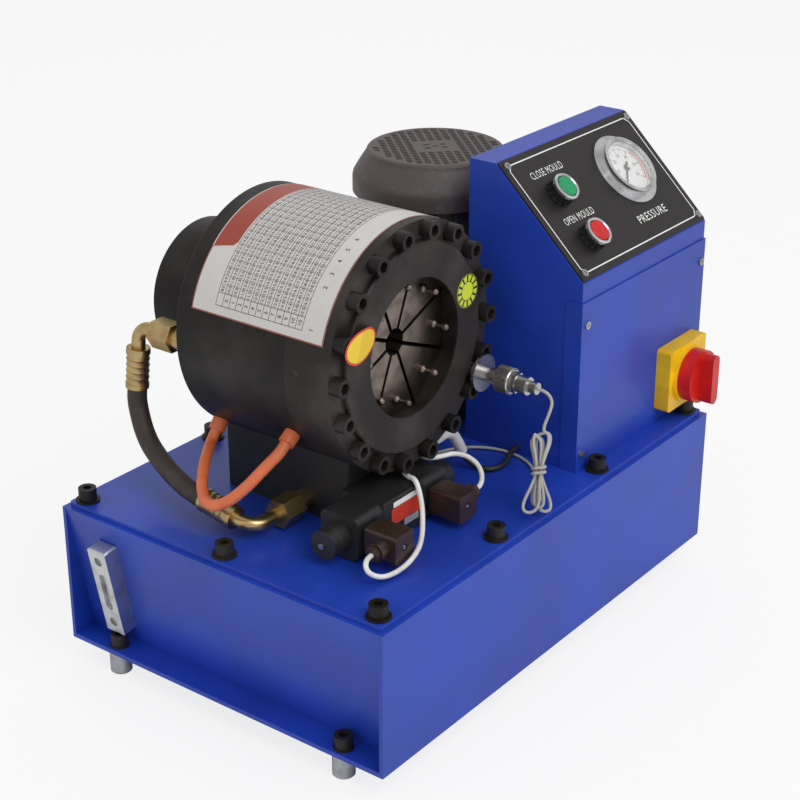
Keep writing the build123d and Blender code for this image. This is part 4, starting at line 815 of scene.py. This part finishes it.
class CRIMPER_OT_stickers(bpy.types.Operator):
    """Stick the two plain seals on the front ring"""
    bl_idname = "crimper.stickers"
    bl_label = "Ring seals"

    def execute(self, context):
        spot = head_point(21.4, 0.088, -0.0003)
        keep("seal_lime", moved(disc(0.0168), RIGHT, UP, spot), "sticker_lime")
        marks = []
        for radius, width in ((0.0160, 0.0008), (0.0095, 0.0007)):
            places = circle(radius, 40)
            marks += [bar(a, b, width) for a, b in zip(places, places[1:] + places[:1])]
        marks += spokes(12, 0.0098, 0.0156, 0.0022)
        keep("seal_lime_print", moved(gather(marks), RIGHT, UP, spot),
             "print_black", False)
        keep("seal_oval_rim", oval_seal(0.0262, 0.0165, 0.0003), "sticker_red")
        keep("seal_oval", oval_seal(0.0238, 0.0143, 0.0005), "sticker_yellow")
        return {"FINISHED"}


# ---- control panel
# words, place along the panel and up it in millimetres, height, share of the full width
PANEL_WORDS = (
    ("CLOSE MOULD", 59.9, 119.7, 0.0082, 0.66),
    ("OPEN MOULD", 58.9, 62.9, 0.0082, 0.66),
    ("PRESSURE", 166.5, 31.5, 0.0092, 0.9),
)
BORDER_INSET, BORDER_NOTCH = 9.0, 4.0
DIAL_STEPS, DIAL_START, DIAL_STEP = 60, -135, 4.5
DIAL_RED = 42
MARK_OUTER, ARC_RADIUS, FIGURE_RADIUS = 0.0245, 0.0262, 0.0155
MARKS = ((10, 0.0195, 0.0009), (5, 0.0215, 0.0006), (1, 0.0228, 0.00035))


def on_panel(mesh, along, up, height):
    return moved(mesh, RIGHT, SLOPE_UP, panel_point(along, up, height))


def dial_turn(step):
    return radians(DIAL_START - DIAL_STEP * step)


class CRIMPER_OT_panel_print(bpy.types.Operator):
    """Print the panel's border and plain function words, and the gauge's dial"""
    bl_idname = "crimper.panel_print"
    bl_label = "Panel print"

    def execute(self, context):
        words = []
        for text, along, up, height, narrow in PANEL_WORDS:
            word = lettering(text, height, 1.1)
            word.transform(Matrix.Diagonal((narrow, 1, 1, 1)))
            words.append(on_panel(word, along, up, PRINT_HEIGHT))
        keep("panel_words", words, "panel_white", False)
        self.border()
        self.dial()
        return {"FINISHED"}

    def border(self):
        """A thin frame whose corners are notched."""
        sides = ((BORDER_INSET, BORDER_NOTCH), (SLOPE_WIDTH - BORDER_INSET, -BORDER_NOTCH))
        ends = (sides[0], (SLOPE_LENGTH * 1000 - BORDER_INSET, -BORDER_NOTCH))
        corners = []
        for right, top in ((0, 0), (1, 0), (1, 1), (0, 1)):
            (x, dx), (y, dy) = sides[right], ends[top]
            turn = [(x, y + dy * 1.5), (x + dx * 0.5, y + dy), (x + dx, y + dy * 0.5),
                    (x + dx * 1.5, y)]
            corners += turn if right == top else turn[::-1]
        corners = [(x / 1000, y / 1000) for x, y in corners]
        lines = [bar(a, b, 0.0013, 0) for a, b in zip(corners, corners[1:] + corners[:1])]
        keep("panel_border", on_panel(gather(lines), 0, 0, PRINT_HEIGHT),
             "panel_white", False)

    def dial(self):
        """The gauge's pale face, its scale of plain numbers and its red end."""
        keep("dial_face", on_panel(disc(0.0283), *GAUGE_CENTRE, GAUGE_FACE),
             "panel_white")
        marks, arc = [], []
        for k in range(DIAL_STEPS + 1):
            turn = dial_turn(k)
            inner, width = next((r, w) for every, r, w in MARKS if k % every == 0)
            marks.append(bar(polar(inner, turn), polar(MARK_OUTER, turn), width, 0))
            if DIAL_RED <= k < DIAL_STEPS:
                arc.append(bar(polar(ARC_RADIUS, turn), polar(ARC_RADIUS, dial_turn(k + 1)),
                               0.0018, 0))
            if k % 10 == 0:
                marks.append(shifted(lettering(str(k), 0.0042), *polar(FIGURE_RADIUS, turn)))
        for name, pieces, slot, finish in (
                ("dial_marks", marks, "black_plastic", "print_black"),
                ("dial_arc", arc, "red_plastic", "sticker_red")):
            mesh = on_panel(gather(pieces), *GAUGE_CENTRE, GAUGE_FACE + 0.28)
            keep(name, mesh, finish, False)


BUTTON_BORE = 0.0121
BUTTON_BODY = [
    (BUTTON_BORE, 0.002), (0.0152, 0.002), (0.0152, 0.0042), (0.0142, 0.0046), (0.0142, 0.0128),
    (BUTTON_BORE, 0.0128), (BUTTON_BORE, 0.002)]
BUTTON_RING = [
    (BUTTON_BORE, 0.0128), (0.0146, 0.0128), (0.0152, 0.0134), (0.0152, 0.0164),
    (0.0144, 0.0174), (0.0128, 0.0174), (BUTTON_BORE, 0.0168), (BUTTON_BORE, 0.0128)]
BUTTON_TEETH = 12


class CRIMPER_OT_buttons(bpy.types.Operator):
    """Fit the two push buttons' black bodies and bright rings"""
    bl_idname = "crimper.buttons"
    bl_label = "Push buttons"

    def execute(self, context):
        bodies, rings = [], []
        for along, up in BUTTON_PLACES:
            bodies.append(on_panel(lathe(BUTTON_BODY), along, up, 0))
            for k in range(BUTTON_TEETH):
                tooth = outline_plate(rounded(0.0036, 0.0016, 0.0004), 1, 0.0078)
                tooth.transform(
                    Matrix.Translation((0, 0, 0.0046))
                    @ Matrix.Rotation(2 * pi * k / BUTTON_TEETH, 4, "Z")
                    @ Matrix.Translation((0.0144, 0, 0)) @ Matrix.Rotation(pi / 2, 4, "Z"))
                bodies.append(on_panel(tooth, along, up, 0))
            rings.append(on_panel(lathe(BUTTON_RING), along, up, 0))
        body = keep("button_bodies", bodies, "plug_black")
        keep("button_rings", rings, "bezel_chrome")
        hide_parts("button_bezels")
        return {"FINISHED"}


# ---- small details
# Where each ferrule begins, and the way that it points.
FERRULES = ((tank_point(87.0, 366.5, 167.0), Vector((-4.0, 3.5, -64.0))),
            (tank_point(51.5, 194.0, 15.5), Vector((1.5, 60.0, 10.0))))
FERRULE_LENGTH, FERRULE_RADIUS, FERRULE_BORE = 0.042, 0.0111, 0.0101
FERRULE_START = 0.022


class CRIMPER_OT_ferrules(bpy.types.Operator):
    """Crimp the two ferrules of the pressure hose"""
    bl_idname = "crimper.ferrules"
    bl_label = "Ferrules"

    def execute(self, context):
        grooves = context.scene.crimper_sizes.ferrule_grooves
        bore, radius, length = FERRULE_BORE, FERRULE_RADIUS, FERRULE_LENGTH
        profile = [(bore, 0), (radius + 0.0006, 0), (radius + 0.0010, 0.0012),
                   (radius + 0.0010, 0.006)]
        step = (length - 0.010) / grooves
        for k in range(grooves):
            z = 0.0065 + k * step
            profile += [(radius, z), (radius, z + step * 0.72), (radius + 0.0007, z + step * 0.78)]
        profile += [(radius + 0.0007, length), (radius - 0.0004, length + 0.0006),
                    (bore, length + 0.0006), (bore, 0)]
        ferrules = []
        for corner, aim in FERRULES:
            aim = aim.normalized()
            side = aim.cross(RIGHT).normalized()
            start = corner + aim * FERRULE_START
            ferrules.append(moved(lathe(profile, 48), side.cross(aim), side, start))
        keep("ferrule_crimps", ferrules, "gold_zinc")
        return {"FINISHED"}


GLAND_RIB = [(0.0060, 0), (0.0074, 0.0003), (0.0074, 0.0016), (0.0060, 0.0019), (0.0060, 0)]
PLUG_SCREW = [(0, 0), (0.0021, 0), (0.0024, 0.0004), (0.0021, 0.0010), (0, 0.0011)]
COIL_NUT = [(0.0146, 0), (0.0152, 0.0008), (0.0152, 0.0072), (0.0146, 0.0080), (0.0146, 0)]
LABEL_FACE = VALVE + Vector((0.004, -0.02265, 0))
# name, width, height, place across and up, slot, finish
VALVE_LABELS = (
    ("valve_label", 0.046, 0.017, 0.0, 0.004, "red_plastic", "sticker_red"),
    ("valve_label_top", 0.036, 0.0055, -0.002, 0.0160, "white_plastic", "panel_white"),
    # The foot strip is white, printed grey here as painted shade.
    ("valve_label_foot", 0.022, 0.0070, 0.008, -0.0085, "white_plastic", "label_grey"),
)


class CRIMPER_OT_valve(bpy.types.Operator):
    """Add the plugs' ribs and screws, the coil nuts and the valve's plain label"""
    bl_idname = "crimper.valve"
    bl_label = "Valve details"

    def execute(self, context):
        ribs, screws, nuts = [], [], []
        for x, side in PLUG_PLACES:
            for k in range(4):
                place = Vector((x + side * (0.0185 + 0.0028 * k), PLUG_BACK, VALVE.z))
                ribs.append(moved(lathe(GLAND_RIB, 32), BACK * side, UP, place))
            place = Vector((x, PLUG_FACE, VALVE.z))
            screws.append(moved(lathe(PLUG_SCREW, 24), RIGHT, UP, place))
            nuts.append(moved(lathe(COIL_NUT, 12), BACK * side, UP, VALVE + RIGHT * side * 0.0752))
        keep("gland_ribs", ribs, "plug_case")
        keep("plug_screws", screws, "pin_steel")
        keep("coil_nuts", nuts, "coil_case")
        for name, wide, high, x, z, slot, finish in VALVE_LABELS:
            plate = outline_plate(rounded(wide, high, 0.0006), 1, 0.0003)
            plate = moved(plate, RIGHT, UP, LABEL_FACE + Vector((x, 0, z)))
            keep(name, plate, finish, False)
        return {"FINISHED"}


GRIP_RADIUS, GRIP_DEPTH, GRIP_HEIGHT, GRIP_STEPS = 0.0131, 0.00045, 0.0150, 96


class CRIMPER_OT_grip(bpy.types.Operator):
    """Knurl the grip of the size dial"""
    bl_idname = "crimper.grip"
    bl_label = "Dial grip"

    def execute(self, context):
        bm = bmesh.new()
        places = [polar(GRIP_RADIUS + (GRIP_DEPTH if k % 2 else 0), 2 * pi * k / GRIP_STEPS)
                  for k in range(GRIP_STEPS)]
        lower, upper = ([bm.verts.new((x, y, z)) for x, y in places] for z in (0.0, GRIP_HEIGHT))
        for k in range(GRIP_STEPS):
            n = (k + 1) % GRIP_STEPS
            bm.faces.new((lower[k], lower[n], upper[n], upper[k]))
        bm.faces.new(lower[::-1])
        bm.faces.new(upper)
        keep("dial_grip", moved(from_bmesh(bm), RIGHT, -UP, DIAL_FACE),
             "turned_steel", False, "size_dial")
        return {"FINISHED"}


# ---- fan cowl
COWL_TOP, COWL_SHOULDER, COWL_BOTTOM = 0.462, 0.4325, 0.424
COWL_RADIUS, COWL_WALL, COWL_FLAT, COWL_BEND = 0.088, 0.002, 0.0690, 0.0040
SLOT_COLUMNS, SLOT_ROWS = 19, 27
SLOT_SIZES = {
    "Radius": COWL_FLAT, "Slot length": 0.0070, "Slot width": 0.0037,
    "Pitch along": 0.0090, "Pitch across": 0.0057, "Thickness": COWL_WALL}
BLANK_COLUMNS, BLANK_ROWS = 2.4, 3.4  # half of the bare patch in the middle, in pitches
LATTICE_TURN = radians(-43)


def slotted_disc():
    """Nodes that cut a lattice of small slots in a round plate."""
    cut = Tree(bpy.data.node_groups.new("slotted_disc", "GeometryNodeTree"))
    face = cut.tree.interface
    for name, value in SLOT_SIZES.items():
        socket = face.new_socket(name, in_out="INPUT", socket_type="NodeSocketFloat")
        socket.default_value = value
    face.new_socket("Material", in_out="INPUT", socket_type="NodeSocketMaterial")
    face.new_socket("Geometry", in_out="OUTPUT", socket_type="NodeSocketGeometry")
    sockets = cut.tree.nodes.new("NodeGroupInput").outputs
    given = {name: Signal(cut, sockets[name]) for name in (*SLOT_SIZES, "Material")}

    def join(first, second):
        joined = cut.node("GeometryNodeJoinGeometry", None, {0: first})
        cut.feed(joined.socket.node.inputs[0], second)
        return joined

    grid = cut.node("GeometryNodeMeshGrid", None, {
        "Size X": given["Pitch along"] * (SLOT_COLUMNS - 1),
        "Size Y": given["Pitch across"] * (SLOT_ROWS - 1),
        "Vertices X": SLOT_COLUMNS, "Vertices Y": SLOT_ROWS})
    place = cut.node("GeometryNodeInputPosition")
    reach = cut.node("ShaderNodeVectorMath", {"operation": "LENGTH"}, {0: place}, "Value")
    outside = reach > given["Radius"] - given["Slot length"] * 0.75
    x, y = (cut.node("ShaderNodeSeparateXYZ", None, {0: place}, axis) for axis in "XY")
    column, row = abs(x / given["Pitch along"]), abs(y / given["Pitch across"])
    patch = (column < BLANK_COLUMNS) * (row < BLANK_ROWS)
    middle = column + row < 0.4
    corners = (abs(column - 1.0) < 0.3) * (abs(row - 1.0) < 0.3)
    bare = patch * (1.0 - (middle + corners))
    points = cut.node("GeometryNodeMeshToPoints", None, {"Mesh": grid})
    kept = cut.node("GeometryNodeDeleteGeometry", {"domain": "POINT"}, {
        "Geometry": points, "Selection": outside + bare})
    slot = cut.node("GeometryNodeCurvePrimitiveQuadrilateral", {"mode": "RECTANGLE"}, {
        "Width": given["Slot length"], "Height": given["Slot width"]})
    soft = cut.node("GeometryNodeFilletCurve", {"mode": "POLY"}, {
        "Curve": slot, "Radius": given["Slot width"] * 0.45, "Count": 3})
    slots = cut.node("GeometryNodeInstanceOnPoints", None, {"Points": kept, "Instance": soft})
    rim = cut.node("GeometryNodeCurvePrimitiveCircle", None, {
        "Resolution": 96, "Radius": given["Radius"]})
    real = cut.node("GeometryNodeRealizeInstances", None, {0: join(slots, rim)})
    sheet = cut.node("GeometryNodeFillCurve", {"mode": "TRIANGLES"}, {0: real})
    solid = cut.node("GeometryNodeExtrudeMesh", {"mode": "FACES"}, {
        "Mesh": sheet, "Offset": (0, 0, 1), "Offset Scale": given["Thickness"],
        "Individual": False})
    both = join(solid, cut.node("GeometryNodeFlipFaces", None, {0: sheet}))
    welded = cut.node("GeometryNodeMergeByDistance", None, {
        "Geometry": both, "Distance": 0.00001})
    ready = cut.node("GeometryNodeRealizeInstances", None, {0: welded})
    painted = cut.node("GeometryNodeSetMaterial", None, {
        "Geometry": ready, "Material": given["Material"]})
    cut.node("NodeGroupOutput", None, {0: painted})
    return cut.tree


def grown(tree, name, **values):
    """The plain mesh that a node tree makes, with its inputs set before it first runs."""
    holder = linked(name, bpy.data.meshes.new(name))
    modifier = holder.modifiers.new(name, "NODES")
    modifier.node_group = tree
    for item in tree.interface.items_tree:
        if item.in_out == "INPUT" and item.name in values:
            modifier[item.identifier] = values[item.name]
    return evaluated(holder)


class CRIMPER_OT_cowl(bpy.types.Operator):
    """Press the motor's fan cowl with its field of small slots"""
    bl_idname = "crimper.cowl"
    bl_label = "Fan cowl"

    def execute(self, context):
        top, shoulder, wide, wall = COWL_TOP, COWL_SHOULDER, COWL_RADIUS, COWL_WALL
        plate = grown(slotted_disc(), "cowl_top", Material=Finish.made["motor_paint"].material)
        plate.transform(Matrix.Translation((MOTOR_X, MOTOR_Y, top - wall))
                        @ Matrix.Rotation(LATTICE_TURN, 4, "Z"))
        outer = []
        for k in range(7):
            turn = radians(90 * k / 6)
            outer.append((COWL_FLAT + COWL_BEND * sin(turn), top - COWL_BEND * (1 - cos(turn))))
        outer += [(0.0752, top - 0.0075), (0.0806, top - 0.0155), (0.0850, top - 0.0230),
                  (wide - 0.0010, shoulder + 0.0032), (wide, shoulder - 0.001),
                  (wide, COWL_BOTTOM)]
        inner = [(wide - wall, COWL_BOTTOM), (wide - wall, shoulder - 0.001),
                 (0.0786, top - 0.0162), (0.0700, top - 0.0035), (COWL_FLAT, top - wall)]
        shell = shifted(lathe(outer + inner + [outer[0]], 96), MOTOR_X, MOTOR_Y)
        cowl = keep("fan_cowl_pressing", [plate, shell], "motor_paint")
        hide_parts("fan_cowl")
        return {"FINISHED"}


# ---- studio
CAMERA_PLACE = (-1.3536, -1.0315, 1.0147)
CAMERA_AZIMUTH, CAMERA_ELEVATION = radians(-52.64), radians(24.49)
CAMERA_LENS = 81.9
LAMP_AIM = Vector((0, 0, 0.25))


def face_along(piece, away):
    """Turn a lamp or the camera so that its back points this way."""
    piece.rotation_euler = away.to_track_quat("Z", "Y").to_euler()


class CRIMPER_OT_stage(bpy.types.Operator):
    """Set the pale floor, the soft lights and the camera"""
    bl_idname = "crimper.stage"
    bl_label = "Studio"

    def execute(self, context):
        settings = context.scene.crimper_stage
        self.floor()
        self.room(context.scene, settings.world_level)
        for name, place, size, power in (
                ("key", (-0.4, -2.2, 2.6), 2.2, settings.key_power),
                ("fill", (-2.6, 0.2, 1.6), 2.0, settings.fill_power),
                ("back", (1.6, 1.8, 2.4), 2.0, settings.fill_power)):
            lamp = bpy.data.lights.new(name, "AREA")
            lamp.size = size
            lamp.energy = power
            piece = linked(name, lamp)
            piece.location = place
            face_along(piece, Vector(place) - LAMP_AIM)
        lens = bpy.data.cameras.new("camera")
        lens.sensor_width = 36
        lens.lens = CAMERA_LENS
        lens.clip_end = 50
        camera = linked("camera", lens)
        camera.location = CAMERA_PLACE
        level = cos(CAMERA_ELEVATION)
        face_along(camera, Vector((sin(CAMERA_AZIMUTH) * level, -cos(CAMERA_AZIMUTH) * level,
                                   sin(CAMERA_ELEVATION))))
        context.scene.camera = camera
        context.scene.view_settings.view_transform = "Standard"
        return {"FINISHED"}

    def floor(self):
        """A pale floor that keeps the machine's shadow."""
        bm = bmesh.new()
        bmesh.ops.create_grid(bm, x_segments=1, y_segments=1, size=6)
        floor = linked("floor", from_bmesh(bm))
        pale = Finish("studio_floor", (0.9, 0.9, 0.9), 0.7)
        pale.paint(pale.mix(pale.noise(3, 2), (0.88, 0.88, 0.88), (0.92, 0.92, 0.92)), None)
        glow = pale.node("ShaderNodeEmission", None, {"Strength": 1.0, "Color": (1, 1, 1, 1)})
        seen = pale.node("ShaderNodeLightPath", output="Is Camera Ray")
        both = pale.node("ShaderNodeMixShader", None, {
            0: seen * 0.8, 1: Signal(pale, pale.shader.outputs[0]), 2: glow})
        pale.feed(pale.tree.nodes["Material Output"].inputs[0], both)
        floor.data.materials.append(pale.material)

    def room(self, scene, level):
        """An even room, white where the camera sees it."""
        world = bpy.data.worlds.new("room")
        world.use_nodes = True
        room = Tree(world.node_tree)
        camera, through = (room.node("ShaderNodeLightPath", output=f"Is {ray} Ray")
                           for ray in ("Camera", "Transmission"))
        seen = room.node("ShaderNodeMath", {"operation": "MAXIMUM"}, {0: camera, 1: through})
        strength = room.node(
            "ShaderNodeMapRange", None, {0: seen, "To Min": level, "To Max": 1.0})
        back = room.tree.nodes["Background"]
        room.feed(back.inputs["Color"], (1, 1, 1, 1))
        room.feed(back.inputs["Strength"], strength)
        scene.world = world


class CRIMPER_PT_panel(bpy.types.Panel):
    """The crimper's pieces and settings in the 3D view's sidebar"""
    bl_idname = "CRIMPER_PT_panel"
    bl_label = "Crimper"
    bl_space_type = "VIEW_3D"
    bl_region_type = "UI"
    bl_category = "Crimper"

    def draw(self, context):
        scene = context.scene
        for group in (scene.crimper_colours, scene.crimper_sizes, scene.crimper_stage):
            column = self.layout.column()
            for name in group.__annotations__:
                column.prop(group, name)
        for step in STEPS:
            self.layout.operator(step.bl_idname)


# The order in which the pieces are made.
STEPS = (
    CRIMPER_OT_stage,
    CRIMPER_OT_finishes,
    CRIMPER_OT_cables,
    CRIMPER_OT_chart,
    CRIMPER_OT_stickers,
    CRIMPER_OT_panel_print,
    CRIMPER_OT_buttons,
    CRIMPER_OT_ferrules,
    CRIMPER_OT_valve,
    CRIMPER_OT_grip,
    CRIMPER_OT_cowl,
)
GROUPS = {
    "crimper_colours": CrimperColours,
    "crimper_sizes": CrimperSizes,
    "crimper_stage": CrimperStage,
}


def register():
    for cls in (*GROUPS.values(), *STEPS, CRIMPER_PT_panel):
        bpy.utils.register_class(cls)
    for name, group in GROUPS.items():
        setattr(bpy.types.Scene, name, bpy.props.PointerProperty(type=group))


def unregister():
    for name in GROUPS:
        delattr(bpy.types.Scene, name)
    for cls in reversed((*GROUPS.values(), *STEPS, CRIMPER_PT_panel)):
        bpy.utils.unregister_class(cls)


def corners(box):
    """A box's corners as plain numbers."""
    return [[float(v) for v in corner] for corner in box]


def main():
    register()
    for step in STEPS:
        group, name = step.bl_idname.split(".")
        getattr(getattr(bpy.ops, group), name)()


if __name__ == "__main__":
    main()
